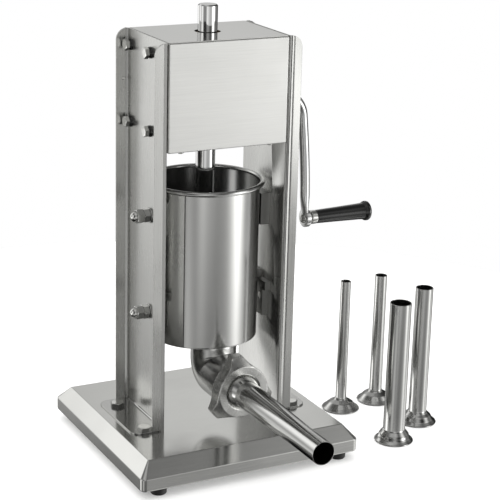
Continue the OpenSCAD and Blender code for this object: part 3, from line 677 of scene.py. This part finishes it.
stud_nuts, domes = Part(), Part()
for side in (-1, 1):
    for z in STUDS:
        nut_turn = 0.3 + 0.2 * side + z * 0.01
        stud_nuts.add(washer(5.3, 10.0, 2.0, 0.4), on_web(side, STUD_Y, z))
        stud_nuts.add(hex_head(16.0, 2.1, 10.1, chamfer_low=True), on_web(side, STUD_Y, z, nut_turn))
        stud_nuts.add(hex_head(16.0, 10.2, 19.2), on_web(side, STUD_Y, z, nut_turn + 0.25))
        domes.add(cap_dome(), on_web(side, STUD_Y, z))
stud_nuts.object("stud_washers_and_nuts", nut_steel, "frame", "fastener_steel", ["stud_hardware"])
# the domes get brighter steel than the rest of each one-piece cap nut: a painted highlight
domes.object("stud_cap_domes_painted_highlight", bright_steel, "frame", "fastener_steel")


def pan_screw(depth):
    """Pan head of a cross-recessed screw, its head below z = 0 and its shank above; the recess is not cut in
    here, but drawn as dark bars of painted shade.
    """
    corners = [(0, -2.5), (2.6, -2.4), (3.75, -1.5), (3.8, 0), (2.0, 0), (2.0, depth), (0, depth)]
    return lathe(fillet(corners, [0, 1.2, 0.8, 0.1, 0, 0.4, 0], closed=False), 48)


def recess_shade_bar(turn):
    """One bar of the cross in a screw's head: a thin dark slab on the head's face, painted shade for the
    recess.
    """
    half_w, half_l = 0.35, 1.9
    bar = [(-half_l, -half_w), (half_l, -half_w), (half_l, half_w), (-half_l, half_w)]
    c, s = math.cos(turn), math.sin(turn)
    return slab([(x * c - y * s, x * s + y * c) for x, y in bar], -2.56, -2.2, 0.05, 1)


screws, recesses = Part(), Part()
for side in (-1, 1):
    under = at(side * 62.0, -57.5, HEAD_LOW, 0.5)
    behind = to_front(BACK_Y + 1.5, side * 91.0, 485.5)
    screws.add(pan_screw(8.8), under)
    screws.add(pan_screw(4.8), behind)
    for arm in (recess_shade_bar(0), recess_shade_bar(math.pi / 2)):
        recesses.add(arm, under)
        recesses.add(arm, behind @ Matrix.Rotation(0.7, 4, "Z"))
screws.object("cover_pan_screws", bright_steel, "frame", "fastener_steel", ["cover_screws"])
# the crosses take the bearing plates' dark finish, as painted shade in the screws' recesses
recesses.object("cover_screw_recess_painted_shade", plate_paint, "frame", "plate_steel")

# ---- Head ----


def folded_cover():
    """Front panel with folded sides, a folded top edge and a full-depth bottom."""
    x, low, high = 82.2, HEAD_LOW, 548.7
    rod_hole, bend = 14.5, 1.7
    work = bmesh.new()
    v = {}
    for sx in (-1, 1):
        for n, y in enumerate((FRONT_Y, FRONT_Y + 15.0, 54.3)):
            for m, z in enumerate((low, high)):
                if n < 2 or m == 0:
                    v[sx, n, m] = work.verts.new((sx * x, y, z))
    for keys in (
        ((-1, 0, 0), (1, 0, 0), (1, 0, 1), (-1, 0, 1)),
        ((-1, 0, 0), (-1, 0, 1), (-1, 1, 1), (-1, 1, 0)),
        ((1, 0, 0), (1, 1, 0), (1, 1, 1), (1, 0, 1)),
        ((-1, 0, 1), (1, 0, 1), (1, 1, 1), (-1, 1, 1)),
        ((-1, 0, 0), (-1, 1, 0), (1, 1, 0), (1, 0, 0)),
    ):
        work.faces.new([v[key] for key in keys])
    edges = hole_edges(work, rod_hole, lambda a, b: (a, b, low))
    edges.append(work.edges.get((v[-1, 1, 0], v[1, 1, 0])))
    edges.append(work.edges.new((v[-1, 1, 0], v[-1, 2, 0])))
    edges.append(work.edges.new((v[1, 1, 0], v[1, 2, 0])))
    edges.append(work.edges.new((v[-1, 2, 0], v[1, 2, 0])))
    bmesh.ops.triangle_fill(work, edges=edges, use_beauty=True)
    bmesh.ops.recalc_face_normals(work, faces=work.faces)
    shared = [e for e in work.edges if len(e.link_faces) == 2]
    folds = [e for e in shared if e.calc_face_angle() > math.radians(60)]
    bmesh.ops.bevel(work, geom=folds, offset=bend, segments=4, affect="EDGES", profile=0.5)
    return shape_of(work)


Part().add(folded_cover()).object(
    "head_front_panel", sheet_head, "frame", "stainless_sheet", ["head_front_cover"],
    sharp=30, thickness=1.5, bevel=0.2,
)


def plate_with_hole(width, front, back, corner, low, high, hole, edge):
    """A plate with rounded edges and one round hole at the origin."""
    outline = rectangle(width, back - front, corner, (back + front) / 2, 5)
    outline.sort(key=lambda p: math.atan2(p[1], p[0]))
    dense = []
    for i, p in enumerate(outline):
        a, b = Vector(p), Vector(outline[(i + 1) % len(outline)])
        steps = max(1, int((b - a).length / 6))
        dense += [tuple(a.lerp(b, k / steps)) for k in range(steps)]
    toward = [Vector(p).normalized() for p in dense]
    loops = []
    for a in quarter(3):
        ring = inset(dense, edge * (1 - math.cos(a)))
        loops.append([(x, y, high - edge * (1 - math.sin(a))) for x, y in ring])
    for a in quarter(3):
        r = hole + edge * (1 - math.sin(a))
        loops.append([tuple(p * r) + (high - edge * (1 - math.cos(a)),) for p in toward])
    loops.append([tuple(p * hole) + (low,) for p in toward])
    loops.append([(x, y, low) for x, y in inset(dense, 0.1)])
    loops.append([(x, y, low + 0.1) for x, y in dense])
    return loft(loops, caps=(False, False), ends_meet=True)


lid_w = 2 * (WEB_X - WEB_T - 1.3)
lid = Part().add(plate_with_hole(lid_w, FRONT_Y + 1.5, BACK_Y, 1.2, 548.8, HEAD_TOP, 16.5, 0.25))
lid.object("head_lid_plate", sheet_lid, "frame", "stainless_sheet", ["head_top_plate"])

back = slab(rectangle(199.2, 135.5, FLANGE_CORNER), 0.0, 1.5, 0.35)
Part().add(back, to_front(BACK_Y + 1.5, z=(HEAD_LOW + HEAD_TOP) / 2)).object(
    "head_back_panel", sheet_head, "frame", "stainless_sheet", ["head_back_cover"]
)

# ---- Cylinder, elbow and collar ----


# the wall of the cylinder and of the loose tubes
WALL = 1.0
SEAM_TURN = math.radians(-136)
PIPE_R = 30.0
PIPE_END_Y = -98.0


def barrel():
    """Thin wall that rolls outwards into a bead at the rim."""
    bead = 3.2
    bead_r, bead_z = BARREL_R + bead - 0.2, RIM_Z - bead + 1.0
    outer = [(BARREL_R - WALL, BARREL_LOW + 0.3), (BARREL_R - 0.7, BARREL_LOW), (BARREL_R - 0.3, BARREL_LOW)]
    outer += [(BARREL_R, BARREL_LOW + h) for h in (0.5, 2.0, 60.0, 120.0, 180.0)]
    outer.append((BARREL_R, bead_z - bead + 0.4))
    for k in range(29):
        a = math.radians(-118 + 298 * k / 28)
        outer.append((bead_r + bead * math.cos(a), bead_z + bead * math.sin(a)))
    return lathe(outer, 160)


Part().add(barrel()).object(
    "cylinder_shell", barrel_steel, "frame", "stainless_polished", ["cylinder_barrel"], sharp=50
)

# the inner wall takes the darker steel, painted shade inside the cylinder
inner_wall = [(BARREL_R - WALL, z) for z in (BARREL_LOW + 0.3, BARREL_LOW + 100.0, RIM_Z - 3.4)]
bore = Part().add(lathe(inner_wall, 160))
bore = bore.object("cylinder_inner_wall", bore_steel_painted_shade, "frame", "stainless_polished")


def seam():
    """Weld seam that runs down the shell, slightly proud of it."""
    half = [(BARREL_R - 0.3, 0.8), (BARREL_R + 0.02, 0.75), (BARREL_R + 0.22, 0.3)]
    section = [(x, -y) for x, y in half] + half[::-1]
    heights = (BARREL_LOW + 0.6, BARREL_LOW + 60, BARREL_LOW + 120, RIM_Z - 5.5)
    return loft([[(x, y, z) for x, y in section] for z in heights])


Part().add(seam(), at(0, 0, 0, SEAM_TURN)).object(
    "cylinder_weld_seam", weld_steel, "frame", "stainless_polished"
)


def elbow_surface():
    """Upright pipe that turns forwards: sharp at the inside of the bend, wide at its heel."""
    around, bends = 96, 20
    tight, wider = 1.2, 46.0

    def point(angle, t):
        # t runs down the upright part (-1 to 0), round the bend (0 to 1) and forwards (1 to 2)
        over, x = PIPE_R * math.cos(angle), PIPE_R * math.sin(angle)
        bend = tight + wider * ((1 - math.cos(angle)) / 2) ** 1.25
        y, z = STUB_Y - over, OUTLET_Z + over
        if t < 0:
            return (x, y, BARREL_LOW + (z + bend - BARREL_LOW) * (1 + t))
        if t > 1:
            return (x, y - bend + (PIPE_END_Y - y + bend) * (t - 1), z)
        a = math.pi / 2 * t
        return (x, y - bend + bend * math.cos(a), z + bend - bend * math.sin(a))

    steps = [-1.0, -0.5] + [k / bends for k in range(bends + 1)] + [1.5, 2.0]
    return loft([[point(a, t) for a in angles(around)] for t in steps], caps=(False, False))


Part().add(elbow_surface()).object(
    "outlet_elbow_pipe", elbow_steel, "frame", "stainless_polished", ["outlet_elbow"], sharp=40, thickness=2.0
)

weld = lathe([(PIPE_R + 0.2 + 1.1 * math.cos(a), 0.9 * math.sin(a)) for a in angles(10)], 96, closed=True)
Part().add(weld, at(0, STUB_Y, BARREL_LOW - 0.3)).object(
    "elbow_weld_bead", elbow_steel, "frame", "stainless_polished"
)


def collar_thread():
    """Ring with a single-start thread of 3 mm pitch on its outside."""
    around, rows, pitch, depth = 72, 58, 3.0, 0.9
    length, crest_r, run_out = 19.0, 30.5, 1.5
    loops = []
    for j in range(rows + 1):
        h = length * j / rows
        full = max(0.0, min(1.0, h / run_out, (length - h) / run_out))
        ring = []
        for a in angles(around):
            wave = abs(2 * ((h / pitch - a / (2 * math.pi)) % 1.0) - 1)
            ring.append(polar(crest_r - depth + depth * min(1.0, 1.25 * wave) * full, a, h))
        loops.append(ring)
    for r, h in ((28.5, length), (26.9, length), (26.5, 18.6), (26.5, 0.4), (26.9, 0.0), (28.9, 0.0)):
        loops.append([polar(r, a, h) for a in angles(around)])
    return loft(loops, caps=(False, False), ends_meet=True)


Part().add(collar_thread(), to_front(PIPE_END_Y)).object(
    "collar_with_thread", tube_steel, "frame", "stainless_polished", ["threaded_collar"], sharp=25
)

# ---- Wing nut and tubes ----

NUT_BODY_R = 34.0
NUT_DEPTH = 21.0
TUBE_FLANGE_R = 26.4


def nut_outline():
    """Round body with three ears: flat tips and hollow flanks, as (angle, radius)."""
    # half an ear: (along it, across it), from the middle of its tip to the body
    half = [
        (46.5, 0.0), (46.5, 5.9), (46.3, 6.8), (45.5, 7.6), (43.2, 8.8), (40.2, 10.6),
        (37.2, 12.5), (34.2, 14.6), (31.6, 17.0), (29.2, 19.5), (27.0, 21.6), (26.0, 22.4),
    ]
    one = [(u, -v) for u, v in reversed(half[1:])] + half
    points = []
    start = math.degrees(math.atan2(one[-1][1], one[-1][0]))
    for ear in (98, 218, 338):
        c, s = math.cos(math.radians(ear)), math.sin(math.radians(ear))
        points += [(u * c - v * s, u * s + v * c) for u, v in one]
        for k in range(1, 8):
            a = math.radians(ear + start + (120 - 2 * start) * k / 8)
            points.append(polar(NUT_BODY_R, a))
    # even the outline out so that every ear and every gap gets points
    dense = []
    for i, p in enumerate(points):
        a, b = Vector(p), Vector(points[(i + 1) % len(points)])
        steps = max(1, round((b - a).length / 1.2))
        dense += [a.lerp(b, k / steps) for k in range(steps)]
    count = len(dense)
    return [dense[i - 1] * 0.2 + dense[i] * 0.6 + dense[(i + 1) % count] * 0.2 for i in range(count)]


def wing_nut():
    outline = nut_outline()
    count = len(outline)
    turns = [math.atan2(p.y, p.x) for p in outline]
    reach = [p.length for p in outline]
    hole_r, thread_r, seat_z = 24.0, 30.56, 18.4

    def front(r):
        return NUT_DEPTH - 0.6 * max(0.0, r - 33.8)

    def rear(r):
        return 0.0 if r < 35 else min(1.0, (r - 35) * 0.3)

    loops = []

    def ring(radii, heights):
        loops.append([polar(r, a, h) for a, r, h in zip(turns, radii, heights)])

    def circle(radius, height):
        ring([radius] * count, [height] * count)

    circle(30.6, 0.3)
    circle(31.0, 0.0)
    ring([min(33.0, r - 1.0) for r in reach], [0.0] * count)
    for drop, back in ((1.0, 0.0), (0.5, 0.13), (0.13, 0.5), (0.0, 1.0)):
        ring([r - drop for r in reach], [rear(r) + back for r in reach])
    for share in (0.35, 0.7):
        ring(reach, [rear(r) + 1 + (front(r) - 2.4 - rear(r)) * share for r in reach])
    for drop, back in ((0.0, 1.2), (0.16, 0.6), (0.6, 0.16), (1.2, 0.0)):
        ring([r - drop for r in reach], [front(r) - back for r in reach])
    for limit in (44.0, 40.0, 37.0, 35.0, 33.8):
        radii = [min(r - 1.2, limit) for r in reach]
        ring(radii, [front(r) for r in radii])
    ring([min(r - 1.6, 33.0) for r in reach], [NUT_DEPTH] * count)
    # the hole's edge and wall, the seat behind it, and the thread's grooves
    for wider, height in ((0.6, NUT_DEPTH), (0.1, 20.8), (0.0, 20.5), (0.0, seat_z + 0.2), (0.3, seat_z)):
        circle(hole_r + wider, height)
    circle(30.3, seat_z)
    for k in range(25):
        circle(thread_r + 0.5 * (k % 2), 18.0 - 17.0 * k / 24)
    return loft(loops, caps=(False, False), ends_meet=True)


Part().add(wing_nut(), to_front(-101.5)).object(
    "wing_nut_casting", cast, "nut", "nut_casting", ["wing_nut"], sharp=32
)


def stuffing_tube(root, end, length):
    """Rolled flange, bell-shaped foot and a long tube, as a closed thin wall."""
    flange, neck = TUBE_FLANGE_R - 0.05, 22.5
    bell = (neck + root) / 2
    outside = [
        (flange - 1.6, 0.0), (flange - 0.5, 0.15), (flange, 0.9), (flange - 0.35, 1.7), (flange - 1.3, 2.1),
        (flange - 2.2, 2.9), (neck - 1.0, 5.2), (bell + 1.2, 10.4), (root + 2.2, 13.8), (root + 0.7, 15.6),
        (root, 17.6),
    ]
    outside = fillet(outside, [0, 0.2, 0.3, 0.3, 1, 2, 6, 8, 4, 4, 2], closed=False, steps=4)
    straight = length - 40.0
    outside += [(root * (1 - k / 6) + end * k / 6, 17.6 + (straight - 17.6) * k / 6) for k in range(1, 7)]
    outside += [(end, length - 0.5), (end - 0.15, length - 0.15), (end - 0.4, length)]
    inside = [
        (end - 0.75, length), (end - 0.95, length - 0.2), (end - WALL, length - 0.6), (end - WALL, straight),
        (root - WALL, 18.2), (root + 1.2, 13.6), (bell + 0.2, 9.6), (neck - 1.6, 4.2), (neck - 1.8, 0.8),
        (neck - 1.2, 0.0),
    ]
    return lathe(outside + inside, 96, closed=True)


def mounted_tube():
    """Flat flange, straight cone and a slightly tapered tube."""
    r = TUBE_FLANGE_R
    corners = [(21.5, 0), (r, 0), (r, 1.8), (22.6, 1.8), (17.9, 15.8), (14.8, 168.0)]
    outside = fillet(corners, [0, 0.5, 0.6, 0.8, 1.5, 0], closed=False)
    outside += [(14.8, 207.6), (14.72, 207.9), (14.55, 208.0), (14.35, 208.0), (14.2, 207.9), (14.15, 207.6)]
    inside = [(14.1, 168.0), (16.9, 15.9), (21.5, 1.0)]
    return lathe(outside + inside, 96, closed=True)


Part().add(mounted_tube(), to_front(-118.0)).object(
    "mounted_stuffing_tube", tube_steel, "tube", "stainless_polished", ["stuffing_tube"], sharp=28
)

# each loose tube's tag, place on the floor, outer radius and length
SPARES = [
    ("14", 222, 5, 7.1, 189), ("17", 283, 11, 8.5, 188),
    ("24", 296, -79, 12.0, 196), ("29", 232, -120, 14.4, 196),
]
for tag, x, y, r, length in SPARES:
    Part().add(stuffing_tube(r + 0.4, r, length), at(x, y, 0)).object(
        "loose_tube_" + tag, spare_steel, "spare_" + tag, "stainless_polished", ["spare_tube_" + tag],
        sharp=50,
    )

# ---- Crank ----


BAR_R = 6.5
BEND_R = 33.5


def crank_hub():
    corners = [(7.05, 87.5), (12.0, 87.5), (12.0, 108.6), (6.4, 110.4), (0, 110.4)]
    outside = fillet(corners, [0.2, 0.9, 1.6, 1.2, 0], closed=False, steps=4)
    return lathe(outside + [(0, 106.4), (7.05, 106.4)], 72)


def crank_bar():
    """Round bar that leaves the hub, bends downwards and ends flat at the eye."""
    lean = math.radians(3.5)
    centre_x, centre_z = 102.0, CRANK_Z - BEND_R
    start = math.asin(4.5 / BEND_R)
    points = []
    for k in range(15):
        a = start + (math.pi / 2 - lean - start) * k / 14
        points.append((centre_x + BEND_R * math.sin(a), centre_z + BEND_R * math.cos(a)))
    end_x, end_z = points[-1]
    drop = end_z - (EYE_Z + 6.0)
    for k in range(1, 25):
        s = k / 24
        bow = 1.6 * math.sin(math.pi * s)
        points.append((end_x + drop * s * math.tan(lean) + bow, end_z - drop * s))
    sections = []
    for x, z in points:
        near = max(0.0, min(1.0, (EYE_Z + 34.0 - z) / 26.0))
        near = near * near * (3 - 2 * near)
        thick, wide = BAR_R - 3.1 * near, BAR_R + 1.6 * near
        sections.append([(thick * math.cos(a), wide * math.sin(a)) for a in angles(40)])
    return sweep([(x, CRANK_Y, z) for x, z in points], sections)


def crank_eye():
    corners = [(4.1, 141.5), (12.0, 141.5), (12.0, 148.5), (4.1, 148.5)]
    return lathe(fillet(corners, [0.3, 1.1, 1.1, 0.3]), 72, closed=True)


on_shaft = along_x(0, CRANK_Y, CRANK_Z)
on_spindle = along_x(0, CRANK_Y, EYE_Z)
crank = Part().add(crank_hub(), on_shaft).add(crank_bar()).add(crank_eye(), on_spindle)
crank.object("crank_forging", crank_chrome, "crank", "stainless_polished", ["crank_arm"], sharp=40)

rivet = [
    (0, 138.3), (3.4, 138.3), (5.6, 139.4), (6.6, 140.6), (6.6, 141.5), (4.0, 141.5), (4.0, 148.5),
    (7.2, 148.5), (7.2, 151.7), (4.0, 151.7), (4.0, 237.5), (0, 238.0),
]
rivet = fillet(rivet, [0, 1.2, 1.5, 0.6, 0, 0, 0, 0.5, 0.5, 0, 0.6, 0], closed=False)
Part().add(lathe(rivet, 56), on_spindle).object(
    "grip_spindle_rivet", bright_steel, "crank", "stainless_polished", ["grip_spindle"]
)

ferrule = [(4.1, 152.0), (8.4, 152.0), (9.2, 152.8), (9.2, 159.0), (8.9, 160.0), (4.1, 160.0)]
ferrule = fillet(ferrule, [0.1, 0.4, 0.6, 0.4, 0.2, 0.1], steps=3)
Part().add(lathe(ferrule, 72, closed=True), on_spindle).object(
    "grip_ferrule_ring", bright_steel, "grip", "stainless_polished", ["grip_ferrule"]
)

grip = [
    (4.1, 160.0), (8.5, 160.0), (9.0, 160.9), (9.3, 170.0), (9.8, 190.0), (10.4, 210.0), (10.9, 226.0),
    (11.3, 233.0), (12.3, 234.6), (13.15, 236.2), (13.4, 238.0), (13.2, 239.8), (12.4, 241.2), (11.2, 242.0),
    (8.6, 242.0), (8.0, 241.4), (8.0, 233.2), (4.1, 233.2),
]
grip = fillet(grip, [0.1, 0.5, 2, 5, 8, 8, 8, 1.5, 1, 1, 1, 1, 1, 1, 0.4, 0.3, 0.2, 0.1], steps=3)
Part().add(lathe(grip, 96, closed=True), on_spindle).object(
    "crank_grip_moulding", grip_black, "grip", "grip_black", ["crank_grip"], sharp=35
)

# ---- Air valve's spring ----

VALVE_X = 42.0
SPRING_LOW, SPRING_TOP = 177.0, 187.0


def valve_spring():
    """Round wire wound into a coil, with a hair of play at both its ends."""
    wire_r, coil_r, turns, steps = 0.6, 3.9, 4, 160
    low, high = SPRING_LOW + wire_r + 0.05, SPRING_TOP - wire_r - 0.05
    loops = []
    for k in range(steps + 1):
        a = 2 * math.pi * turns * k / steps
        z = low + (high - low) * k / steps
        loops.append([polar(coil_r + wire_r * math.cos(b), a, z + wire_r * math.sin(b)) for b in angles(12)])
    return loft(loops)


# the spring hangs from the valve's pin
coil = Part().add(valve_spring(), at(VALVE_X, 0, 0)).object(
    "valve_coil_spring", dark_steel, "valve", "machined_steel", ["valve_spring"]
)
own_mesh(coil)

# ---- CAD nodes that keep their shape and get a finish ----

KEPT = (
    (bright_steel, (
        "foot_screws", "foot_screw_nuts", "upright_washers", "upright_nuts", "support_studs", "spindle_nut",
        "piston_screw", "valve_body", "valve_pin",
    )),
    (plate_paint, (
        "left_bearing_plate", "right_bearing_plate", "inner_bearing_plate", "lower_guide_plate",
        "upper_guide_plate",
    )),
    (dark_steel, (
        "frame_screws", "main_shaft_keys", "drive_shaft_key", "crank_set_screw", "cylinder_lugs",
        "lower_cradles", "upper_stops",
    )),
    (bronze, ("rod_guide_bushes", "main_shaft_bushes", "drive_shaft_bushes")),
    (machined, ("main_shaft", "rack_pinion", "large_gear", "drive_shaft", "small_gear")),
    (elbow_steel, ("piston_plate", "cylinder_bottom")),
    (rod_chrome, ("rack_rod",)),
    (seal_silicone, ("piston_seal",)),
)
for finish, nodes in KEPT:
    for node in nodes:
        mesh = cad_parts[node].data
        mesh.materials.clear()
        mesh.materials.append(finish)

# ---- Stage, lights and camera ----


def pale_floor():
    n = Nodes("pale_floor")
    cloud = n.noise(2.0, 2.0, 0.5)
    colour = n.ramp(cloud, (0.3, (0.93, 0.93, 0.925)), (0.7, (0.9393, 0.9393, 0.93425)))
    return n.finish(colour, n.spread(cloud, 0.6, 0.65), Metallic=0.0)


floor_mesh = bpy.data.meshes.new("floor")
floor_mesh.from_pydata([polar(0.9, a, 0) for a in angles(128)], [], [list(range(128))])
floor_mesh.materials.append(pale_floor())
floor = in_scene("floor", floor_mesh)
floor.location.z = -0.0003
floor.visible_glossy = False
floor.visible_diffuse = False
floor.visible_shadow = False

# Soft lamps round the machine: compass direction and height in degrees (0 is +Y, 90 is +X),
# how tightly each one is bundled, and how strong it is. Most strengths come from a least-squares
# fit of test renders to the photo's grey levels, done outside this script; the others were set
# one by one.
SOFT_LAMPS = [
    (120, -50, 12, 1.22), (90, -32, 25, 1.40), (162, -32, 25, 0.14), (234, -32, 25, 0.32),
    (240, -19, 41, 0.47), (300, -19, 41, 2.15), (320, -19, 41, 0.32), (130, -8, 41, 2.77),
    (150, -8, 41, 0.57), (170, -8, 41, 0.40), (190, -8, 41, 0.55), (210, -8, 41, 0.95),
    (270, -8, 41, 1.10), (330, -8, 41, 0.66), (350, -8, 41, 1.46), (20, 4, 41, 0.31),
    (140, 4, 41, 2.55), (30, 17, 41, 0.58), (270, 17, 41, 1.52), (330, 17, 41, 0.92),
    (310, 17, 41, 0.60), (334, 32, 32, 0.85), (185, 57, 41, 0.50), (240, 66, 16, 0.50),
    (0, 66, 8, 0.42), (90, 14, 25, 0.30), (200, 17, 25, 0.25), (290, 17, 25, 0.30),
    (0, 32, 32, 0.27), (25, 32, 32, 0.39), (128, 32, 32, 1.15), (205, 32, 32, 0.42),
    (126, 48, 25, 0.20), (234, 48, 25, 0.14),
]


def studio():
    """White backdrop, and a dim room with soft lamps that light the machine."""
    world = bpy.data.worlds.new("studio")
    world.use_nodes = True
    bpy.context.scene.world = world
    tree = world.node_tree

    direction = new_node(tree, "ShaderNodeVectorMath", operation="NORMALIZE")
    tree.links.new(new_node(tree, "ShaderNodeTexCoord").outputs["Generated"], direction.inputs[0])
    light = None
    for compass, height, tight, strength in SOFT_LAMPS:
        a, e = math.radians(compass), math.radians(height)
        facing = new_node(tree, "ShaderNodeVectorMath", operation="DOT_PRODUCT")
        facing.inputs[1].default_value = (math.sin(a) * math.cos(e), math.cos(a) * math.cos(e), math.sin(e))
        tree.links.new(direction.outputs["Vector"], facing.inputs[0])
        fall = new_node(tree, "ShaderNodeMath", operation="MULTIPLY_ADD")
        fall.inputs[1].default_value = tight
        fall.inputs[2].default_value = math.log(strength) - tight
        tree.links.new(facing.outputs["Value"], fall.inputs[0])
        glow = new_node(tree, "ShaderNodeMath", operation="EXPONENT")
        tree.links.new(fall.outputs["Value"], glow.inputs[0])
        if light is None:
            light = glow
            continue
        # a lamp's light is added to that of all the lamps before it
        both = new_node(tree, "ShaderNodeMath", operation="ADD")
        tree.links.new(light.outputs["Value"], both.inputs[0])
        tree.links.new(glow.outputs["Value"], both.inputs[1])
        light = both
    room = tree.nodes["Background"]
    room.inputs["Color"].default_value = (1.0, 1.0, 0.985, 1)
    tree.links.new(light.outputs["Value"], room.inputs["Strength"])
    backdrop = new_node(tree, "ShaderNodeBackground")
    backdrop.inputs["Color"].default_value = (1, 1, 1, 1)
    backdrop.inputs["Strength"].default_value = 1.0
    choice = new_node(tree, "ShaderNodeMixShader")
    tree.links.new(new_node(tree, "ShaderNodeLightPath").outputs["Is Camera Ray"], choice.inputs["Fac"])
    tree.links.new(room.outputs["Background"], choice.inputs[1])
    tree.links.new(backdrop.outputs["Background"], choice.inputs[2])
    tree.links.new(choice.outputs["Shader"], tree.nodes["World Output"].inputs["Surface"])


studio()

def area_lamp(name, size, place, energy, lit, turn=0.0, shape="RECTANGLE"):
    """A lamp that lights only one object."""
    data = bpy.data.lights.new(name, "AREA")
    data.shape = shape
    data.size, data.size_y = size
    data.energy = energy
    lamp = in_scene(name, data)
    lamp.location = place
    lamp.rotation_euler = (0.0, turn, 0.0)
    lamp.visible_camera = False
    group = bpy.data.collections.new(name + "_group")
    group.objects.link(lit)
    lamp.light_linking.receiver_collection = group
    return data


# Wide lamps overhead for the floor; only one of them is shaded by the machine, so that the
# contact shadows stay faint
area_lamp("overhead", (6.0, 6.0), (0, 0, 1.5), 105, floor, shape="DISK")
area_lamp("overhead_fill", (6.0, 6.0), (0, 0, 1.5), 160, floor, shape="DISK").use_shadow = False

# Two small lamps for the inner wall of the open cylinder: one above it, and one low inside it
# on the left, whose reflection makes the light band on the right of the wall
area_lamp("above_bore", (0.05, 0.05), (0.035, -0.03, 0.40), 0.08, bore)
area_lamp("inside_bore", (0.06, 0.022), (-0.050, 0.034, 0.302), 0.0035, bore, turn=-math.pi / 2)


def camera():
    """Where the photo was taken from, as solved from the machine's straight edges in it."""
    yaw, pitch, roll = (math.radians(a) for a in (27.777, 17.332, 1.51))
    ahead = Vector((math.sin(yaw) * math.cos(pitch), math.cos(yaw) * math.cos(pitch), -math.sin(pitch)))
    right = Vector((math.cos(yaw), -math.sin(yaw), 0.0))
    up = right.cross(ahead)
    side = right * math.cos(roll) + up * math.sin(roll)
    top = up * math.cos(roll) - right * math.sin(roll)
    data = bpy.data.cameras.new("camera")
    data.sensor_width = 36.0
    data.lens = 115.83
    data.clip_start = 0.05
    data.clip_end = 50.0
    made = in_scene("camera", data)
    turn = Matrix((side, top, -ahead)).transposed()
    made.matrix_world = Matrix.Translation((-0.8802, -1.8005, 0.8890)) @ turn.to_4x4()
    bpy.context.scene.camera = made


camera()
bpy.context.scene.view_settings.view_transform = "Standard"
bpy.context.scene.view_settings.look = "None"
